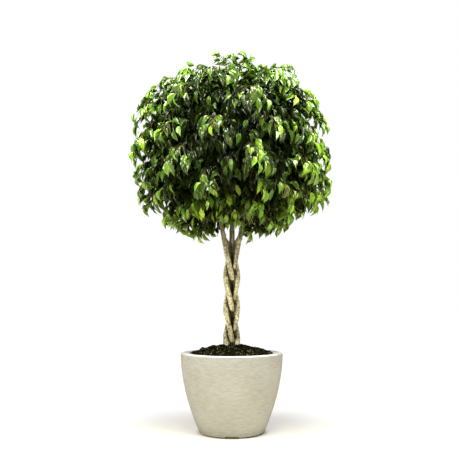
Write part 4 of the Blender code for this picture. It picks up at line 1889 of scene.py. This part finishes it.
@dataclass
class Spray:
    """One leafy spray: its arching twig, its forks and side twigs, and its hanging leaves.

    The twigs are lists of where each starts on the path that carries it, and how long it is. The radii are
    those at a twig's start and end. side_away, stalk_away, hang_aside and hang_onward are each a middle value
    and how far from it the draw may go, and the other pairs are the ends of a range.
    """

    seat: Seat
    plan: CrownPlan
    patterns: list[LeafPattern]
    room: tuple[Vector, Vector]
    seed: int = 1000
    main_steps: int = 4
    main_radii: Span = (0.0026, 0.0010)
    main_bare: float = 0.10
    side_twigs: Pairs = ((0.20, 0.082), (0.36, 0.077), (0.53, 0.069), (0.71, 0.058))
    more_twigs: Pairs = ((0.28, 0.080), (0.44, 0.070), (0.62, 0.060), (0.80, 0.048))
    limb_twigs: Pairs = ((0.34, 0.120), (0.48, 0.125), (0.62, 0.120), (0.76, 0.110), (0.90, 0.100))
    side_radii: Span = (0.0013, 0.0007)
    side_bare: float = 0.25
    side_size: Span = (0.85, 1.15)
    side_away: Span = (0.9, 0.25)
    side_rise: Span = (-0.1, 0.25)
    side_steps: int = 5
    side_droop: float = 0.30
    forks: int = 5
    top_forks: int = 13
    top_spread: float = 2.6
    fork_start: Span = (0.40, 1.0)
    fork_turn: Span = (8.0, 58.0)
    fork_lift: Span = (-56.0, 30.0)
    fork_length: Span = (0.78, 1.18)
    fork_twigs: Pairs = ((0.30, 0.058), (0.50, 0.052), (0.72, 0.042))
    fork_steps: int = 12
    fork_sweep: float = 0.4
    fork_sweep_growth: float = 2.0
    fork_radii: Span = (0.0019, 0.0009)
    fork_bare: float = 0.20
    leaf_length: float = 0.050
    leaf_width: float = 0.0190
    leaf_size: Span = (0.80, 1.12)
    leaf_breadth: Span = (0.9, 1.1)
    spacing: float = 0.0206
    end_side: float = 0.25
    upright: float = 0.05
    stalk: float = 0.010
    stalk_away: Span = (0.9, 0.3)
    stalk_size: Span = (0.8, 1.2)
    hang_aside: Span = (0.42, 0.45)
    hang_onward: Span = (0.50, 0.35)
    hang_outward: float = 0.30
    outward_loose: Span = (-0.35, 0.40)
    hang_down: float = 0.68
    down_loose: Span = (-0.45, 0.30)
    high_hang: float = 0.28
    high_leaves: float = 1.42
    high_run: float = 0.30
    face_outward: Span = (0.6, 1.3)
    face_aside: float = 0.65
    face_up: Span = (0.1, 0.5)
    low_face_up: Span = (0.3, 0.9)
    tries: int = 4
    tuck: float = 0.25
    tuck_length: float = 0.93
    tuck_width: float = 0.95
    margin: float = 0.0005
    young: float = 0.04
    young_ages: Span = (0.62, 0.96)
    young_patch: float = 0.50
    patch_scale: float = 7.0
    # More young leaves and further grown ones low down and to the right: partly the leaves' own colour,
    # partly painted light that brightens those sides.
    young_and_lit_below: float = 0.96
    young_and_lit_run: float = 0.12
    young_and_lit_low: float = 0.08
    young_and_lit_low_patch: float = 0.9
    young_and_lit_right: float = 0.14
    young_spots: tuple[Place, ...] = ((-0.26, -0.16, 0.86), (0.25, -0.17, 0.86))
    spot_reach: float = 0.085
    young_spot: float = 0.6
    grown: float = 0.30
    grown_loose: float = 0.22
    grown_and_lit_right: float = 0.12
    grown_and_lit_low: float = 0.14
    most_grown: float = 0.7
    neighbours: Span = (-0.36, 0.54)
    dome_light: Place = (1.20, 1.38, 0.40)
    right_light: float = 0.12
    right_run: float = 0.30
    runs: list[Tube] = field(default_factory=list)

    def __post_init__(self) -> None:
        """Start the spray's own draw and its leaves."""
        self.draw = random.Random(self.seed + self.seat.number)
        self.leaves = Foliage(self.patterns)

    def build(self) -> Object:
        """Grow the twigs, hang the leaves on them, and join all in one piece.

        Returns:
            The spray.
        """
        number = self.seat.number
        main = self.plan.trimmed(self.plan.twig(self.seat, self.main_steps))
        limb = self.plan.limb(self.seat, self.plan.limb_steps)
        self.grow(main, self.main_radii, self.main_bare)
        self.grow_sides(main, self.side_twigs, 1)
        self.grow_sides(main, self.more_twigs, 0)
        self.grow_sides(limb, self.limb_twigs, number)
        self.grow_forks(limb)
        twigs = tubes("twigs", self.runs, 0)
        note(twigs, "shade", [self.plan.shade(vertex.co) for vertex in twigs.data.vertices])
        piece = self.leaves.build("leaves")
        dress(twigs, Finish.TWIG)
        dress(piece, Finish.LEAF)
        join(piece, twigs)
        return settle(piece, f"spray_{number:02d}_leaves", f"spray_{number:02d}")

    def grow(self, path: list[Vector], radii: Span, bare: float) -> None:
        """Grow a twig, and hang leaves along it side by side in turn, with one at its end.

        Args:
            path: the twig's path.
            radii: its radius at its start and at its end.
            bare: the share of it before the first leaf.
        """
        self.runs.append((path, spaced(*radii, len(path))))
        length = sum((b - a).length for a, b in zip(path, path[1:]))
        count = max(2, round(length * (1 - bare) / self.spacing))
        for place, share in enumerate(spaced(bare, 1.0, count), 1):
            side = side_of(place)
            self.hang_leaf(*along(path, share), self.end_side * side if place == count else side)

    def grow_forks(self, limb: list[Vector]) -> None:
        """Grow long forks with their own side twigs, more of them where the spray stands upright.

        Args:
            limb: the limb that carries the spray.
        """
        steep = max(0.0, self.seat.first_pitch / 90) ** 3
        for i in range(round(self.forks + (self.top_forks - self.forks) * steep)):
            start = along(limb, self.draw.uniform(*self.fork_start))[0]
            side = side_of(i + self.seat.number)
            aside = side * self.draw.uniform(*self.fork_turn) * (1 + self.top_spread * steep)
            lift = self.draw.uniform(*self.fork_lift)
            fork = self.plan.trimmed(self.fork_path(start, aside, self.draw.uniform(*self.fork_length), lift))
            self.grow(fork, self.fork_radii, self.fork_bare)
            self.grow_sides(fork, self.fork_twigs, 0)

    def fork_path(self, start: Vector, turn: float, length: float, lift: float) -> list[Vector]:
        """Bend a fork that leaves the limb near its end, and arches down beside the main twig.

        Args:
            start: where it leaves the limb.
            turn: how far it turns aside, in degrees.
            length: its length, as a share of the main twig's.
            lift: how much steeper than the main twig it starts, in degrees.

        Returns:
            Its path.
        """
        seat = self.seat
        first = seat.first_pitch + lift
        path = [start]
        for i in range(self.fork_steps):
            share = (i + 0.5) / self.fork_steps
            pitch = first + (seat.last_pitch - first) * share
            aside = turn * min(1.0, self.fork_sweep + self.fork_sweep_growth * share)
            heading = pitched(seat.turned + aside, pitch)
            path.append(path[-1] + heading * seat.length * length / self.fork_steps)
        return path

    def grow_sides(self, main: list[Vector], twigs: Pairs, first: int) -> None:
        """Grow side twigs with their leaves, to the right and to the left in turn.

        Args:
            main: the path of the twig that carries them.
            twigs: for each the share of that path where it starts, and its usual length.
            first: an odd number for one whose first twig leaves on side 1, else an even one.
        """
        for i, (share, reach) in enumerate(twigs):
            length = reach * self.draw.uniform(*self.side_size)
            path = self.plan.trimmed(self.side_path(main, share, side_of(i + first), length))
            self.grow(path, self.side_radii, self.side_bare)

    def side_path(self, main: list[Vector], share: float, side: int, length: float) -> list[Vector]:
        """Bend a side twig that leaves the main one forwards and to its side, and then droops.

        Args:
            main: the main twig's path.
            share: where on it the side twig starts.
            side: 1 or -1, the side that it leaves on.
            length: its length.

        Returns:
            Its path.
        """
        draw = self.draw
        start, heading = along(main, share)
        sideways = heading.cross(UP).normalized()
        way = heading + sideways * side * loose(draw, *self.side_away) + UP * draw.uniform(*self.side_rise)
        way.normalize()
        path = [start]
        for _ in range(self.side_steps):
            path.append(path[-1] + way * length / self.side_steps)
            way = (way - UP * self.side_droop).normalized()
        return path

    def hang_leaf(self, root: Vector, heading: Vector, side: float) -> None:
        """Hang one leaf, turned further in and down while it doesn't fit, or none.

        Args:
            root: where it leaves its twig.
            heading: the twig's direction there.
            side: how far to its side it leaves, from -1 to 1.
        """
        draw = self.draw
        sideways = heading.cross(UP)
        if sideways.length < self.upright:
            sideways = Vector((-root.y, root.x, 0.0))
        sideways.normalize()
        outward = Vector((root.x, root.y, 0.0)).normalized()
        stalk = (heading + sideways * side * loose(draw, *self.stalk_away)).normalized()
        stalk *= self.stalk * draw.uniform(*self.stalk_size)
        below = clamped((self.high_leaves - root.z) / self.high_run)
        down = self.high_hang + (self.hang_down - self.high_hang) * below
        aside, aside_loose = self.hang_aside
        direction = sideways * loose(draw, aside * side, aside_loose)
        direction += heading * loose(draw, *self.hang_onward)
        out = outward * (self.hang_outward + draw.uniform(*self.outward_loose))
        direction += out - UP * (down + draw.uniform(*self.down_loose))
        face = outward * draw.uniform(*self.face_outward)
        face += sideways * draw.uniform(-self.face_aside, self.face_aside)
        face_up = [high + (low - high) * below for high, low in zip(self.face_up, self.low_face_up)]
        face += UP * draw.uniform(*face_up)
        size = draw.uniform(*self.leaf_size)
        leaf = Leaf(
            root=root,
            stalk=stalk,
            direction=direction.normalized(),
            face=face,
            length=self.leaf_length * size,
            age=self.age(root),
            width=self.leaf_width * size * draw.uniform(*self.leaf_breadth),
            shade=self.leaf_shade(root),
            form=draw.randrange(len(self.patterns)),
        )
        for _ in range(self.tries):
            if self.fits(leaf):
                self.leaves.add(leaf)
                return
            leaf.direction = (leaf.direction - outward * self.tuck - UP * self.tuck).normalized()
            leaf.length *= self.tuck_length
            leaf.width *= self.tuck_width

    def leaf_shade(self, root: Vector) -> float:
        """Draw how much the crown shades a leaf: those on the dome and to the right less.

        Args:
            root: where the leaf leaves its twig.

        Returns:
            The shade, from 0 to 1.
        """
        low, high, most = self.dome_light
        dome = most * clamped((root.z - low) / (high - low))
        right = self.right_light * clamped(root.x / self.right_run)
        return clamped(self.plan.shade(root) + self.draw.uniform(*self.neighbours) - dome - right)

    def age(self, root: Vector) -> float:
        """Draw a leaf's age: more are young in patches, and low down and to the right more are young and more
        are further grown, which is partly the leaves' own colour and partly painted light that brightens
        those sides.

        Args:
            root: where the leaf leaves its twig.

        Returns:
            The age, from 0 for old to 1 for young.
        """
        patch = max(0.0, noise.noise(root * self.patch_scale))
        low = clamped((self.young_and_lit_below - root.z) / self.young_and_lit_run)
        right = clamped(root.x / self.right_run)
        chance = self.young + self.young_patch * patch
        # More young leaves low down and to the right: partly their own colour, partly painted light.
        chance += (self.young_and_lit_low + self.young_and_lit_low_patch * patch) * low
        chance += self.young_and_lit_right * right
        if min((root - Vector(spot)).length for spot in self.young_spots) < self.spot_reach:
            chance += self.young_spot
        if self.draw.random() < chance:
            return self.draw.uniform(*self.young_ages)
        # Further grown low down and to the right: partly their own colour, partly painted light.
        usual = self.grown + self.grown_and_lit_right * right + self.grown_and_lit_low * low
        return min(self.most_grown, max(0.0, self.draw.gauss(usual, self.grown_loose)))

    def fits(self, leaf: Leaf) -> bool:
        """Say whether a leaf stays in the plant's own room, and the crown holds its tip.

        Args:
            leaf: the leaf.

        Returns:
            Whether it fits.
        """
        placed = self.leaves.placed(leaf)
        low, high = np.array(self.room)
        clear = (placed.min(axis=0) > low + self.margin) & (placed.max(axis=0) < high - self.margin)
        return bool(clear.all()) and self.plan.holds(leaf.tip)


# The studio


@dataclass
class Studio:
    """The camera, the floor and the lights."""

    lens: float = 43.9
    distance: float = 2.2
    eye: float = 0.49
    shift: Span = (-0.0037, 0.1665)
    floor_size: float = 60.0
    floor_colour: Colour = (0.86, 0.79, 0.60, 1.0)
    clear: Span = (0.122, 0.150)
    fade: Span = (0.20, 0.66)
    veil: float = 0.50
    veil_strength: float = 1.06
    white: Colour = (1.0, 1.0, 1.0, 1.0)
    warmth: Place = (1.0, 0.98, 0.94)
    dim: float = 0.04
    aim: Place = (0.0, 0.0, 0.8)
    lights: tuple[tuple[str, Place, float, float], ...] = (
        ("overhead", (0.1, -0.9, 3.3), 1.1, 218.0),
        ("key", (-2.9, -1.8, 2.0), 0.6, 120.0),
        ("fill", (2.7, -2.1, 1.25), 0.8, 64.0),
        ("front", (0.2, -3.0, 0.85), 0.7, 13.0),
    )

    def build(self) -> None:
        """Set up all of it."""
        bpy.context.scene.view_settings.view_transform = "Standard"
        self.add_camera()
        self.add_floor()
        for light in self.lights:
            self.add_light(*light)
        self.add_surroundings()

    def add_camera(self) -> None:
        """Add the camera, level in front of the plant, with its picture shifted up."""
        data = bpy.data.cameras.new("camera")
        data.sensor_width = 36.0
        data.lens = self.lens
        data.shift_x, data.shift_y = self.shift
        camera = new_object("camera", data)
        camera.location = (0.0, -self.distance, self.eye)
        camera.rotation_euler = (math.pi / 2, 0.0, 0.0)
        bpy.context.scene.camera = camera

    def add_floor(self) -> None:
        """Add a wide pale floor, which fades into the white surroundings away from the plant."""
        deselect()
        bpy.ops.mesh.primitive_plane_add(size=self.floor_size, location=(0.0, 0.0, 0.0))
        floor = bpy.context.object
        floor.name = "floor"
        made = bpy.data.materials.new("floor")
        made.use_nodes = True
        tree = Tree(made.node_tree)
        shader = made.node_tree.nodes["Principled BSDF"]
        tree.wire(shader, {"Base Color": self.floor_colour, "Roughness": 0.9, "Specular IOR Level": 0.1})
        place = tree.add("ShaderNodeTexCoord").outputs["Object"]
        away = tree.add("ShaderNodeVectorMath", {0: place}, operation="LENGTH").outputs["Value"]
        seen = tree.add("ShaderNodeLightPath").outputs["Is Camera Ray"]
        near = tree.math("MULTIPLY", tree.ramp(away, *self.clear), self.veil)
        rest = tree.math("MULTIPLY", tree.ramp(away, *self.fade), 1 - self.veil)
        fade = tree.math("MULTIPLY", tree.math("ADD", rest, near), seen)
        white = tree.add("ShaderNodeEmission", {"Color": self.white, "Strength": self.veil_strength})
        mixed = tree.add("ShaderNodeMixShader", {0: fade, 1: shader.outputs[0], 2: white.outputs[0]})
        tree.wire(made.node_tree.nodes["Material Output"], {0: mixed.outputs[0]})
        floor.data.materials.append(made)
        floor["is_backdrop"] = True

    def add_light(self, name: str, place: Place, size: float, power: float) -> None:
        """Add a square soft light that looks at the crown.

        Args:
            name: its name.
            place: where it stands.
            size: the length of its sides.
            power: its power in watts.
        """
        data = bpy.data.lights.new(name, "AREA")
        data.size = size
        data.energy = power
        data.color = self.warmth
        light = new_object(name, data)
        light.location = place
        light.rotation_euler = (Vector(self.aim) - Vector(place)).to_track_quat("-Z", "Y").to_euler()

    def add_surroundings(self) -> None:
        """Make all round white to the eye, and a dimmer even light to the plant."""
        world = bpy.data.worlds.new("studio")
        bpy.context.scene.world = world
        world.use_nodes = True
        world.node_tree.nodes.clear()
        tree = Tree(world.node_tree)
        seen = tree.add("ShaderNodeBackground", {"Color": self.white, "Strength": 1.0}).outputs[0]
        warm = (*self.warmth, 1.0)
        felt = tree.add("ShaderNodeBackground", {"Color": warm, "Strength": self.dim}).outputs[0]
        ray = tree.add("ShaderNodeLightPath").outputs["Is Camera Ray"]
        mixed = tree.add("ShaderNodeMixShader", {0: ray, 1: felt, 2: seen}).outputs[0]
        tree.add("ShaderNodeOutputWorld", {0: mixed})


def report(piece: Object) -> None:
    """Log a finished piece and how many triangles it has."""
    LOG.info("%s: %d triangles", piece.name, sum(len(face.vertices) - 2 for face in piece.data.polygons))


def main() -> None:
    """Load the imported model, and build and dress each piece in turn."""
    logging.basicConfig(level=logging.INFO, format="%(message)s")
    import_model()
    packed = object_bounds()
    Studio().build()
    build_mottle()
    build_specks()
    build_brushing()
    planter = Planter()
    report(planter.build())
    report(Soil(planter).build())
    plan = CrownPlan(Plait())
    seats = plan.seats()
    for number in range(1, plan.plait.strands + 1):
        own = [seat for seat in seats if seat.stem == number - 1]
        report(Stem(number, plan, own).build())
    patterns = [form.build() for form in LEAF_FORMS]
    room = (Vector(packed[0]), Vector(packed[1]))
    for seat in seats:
        report(Spray(seat, plan, patterns, room).build())
    deselect()
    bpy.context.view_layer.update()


if __name__ == "__main__":
    main()
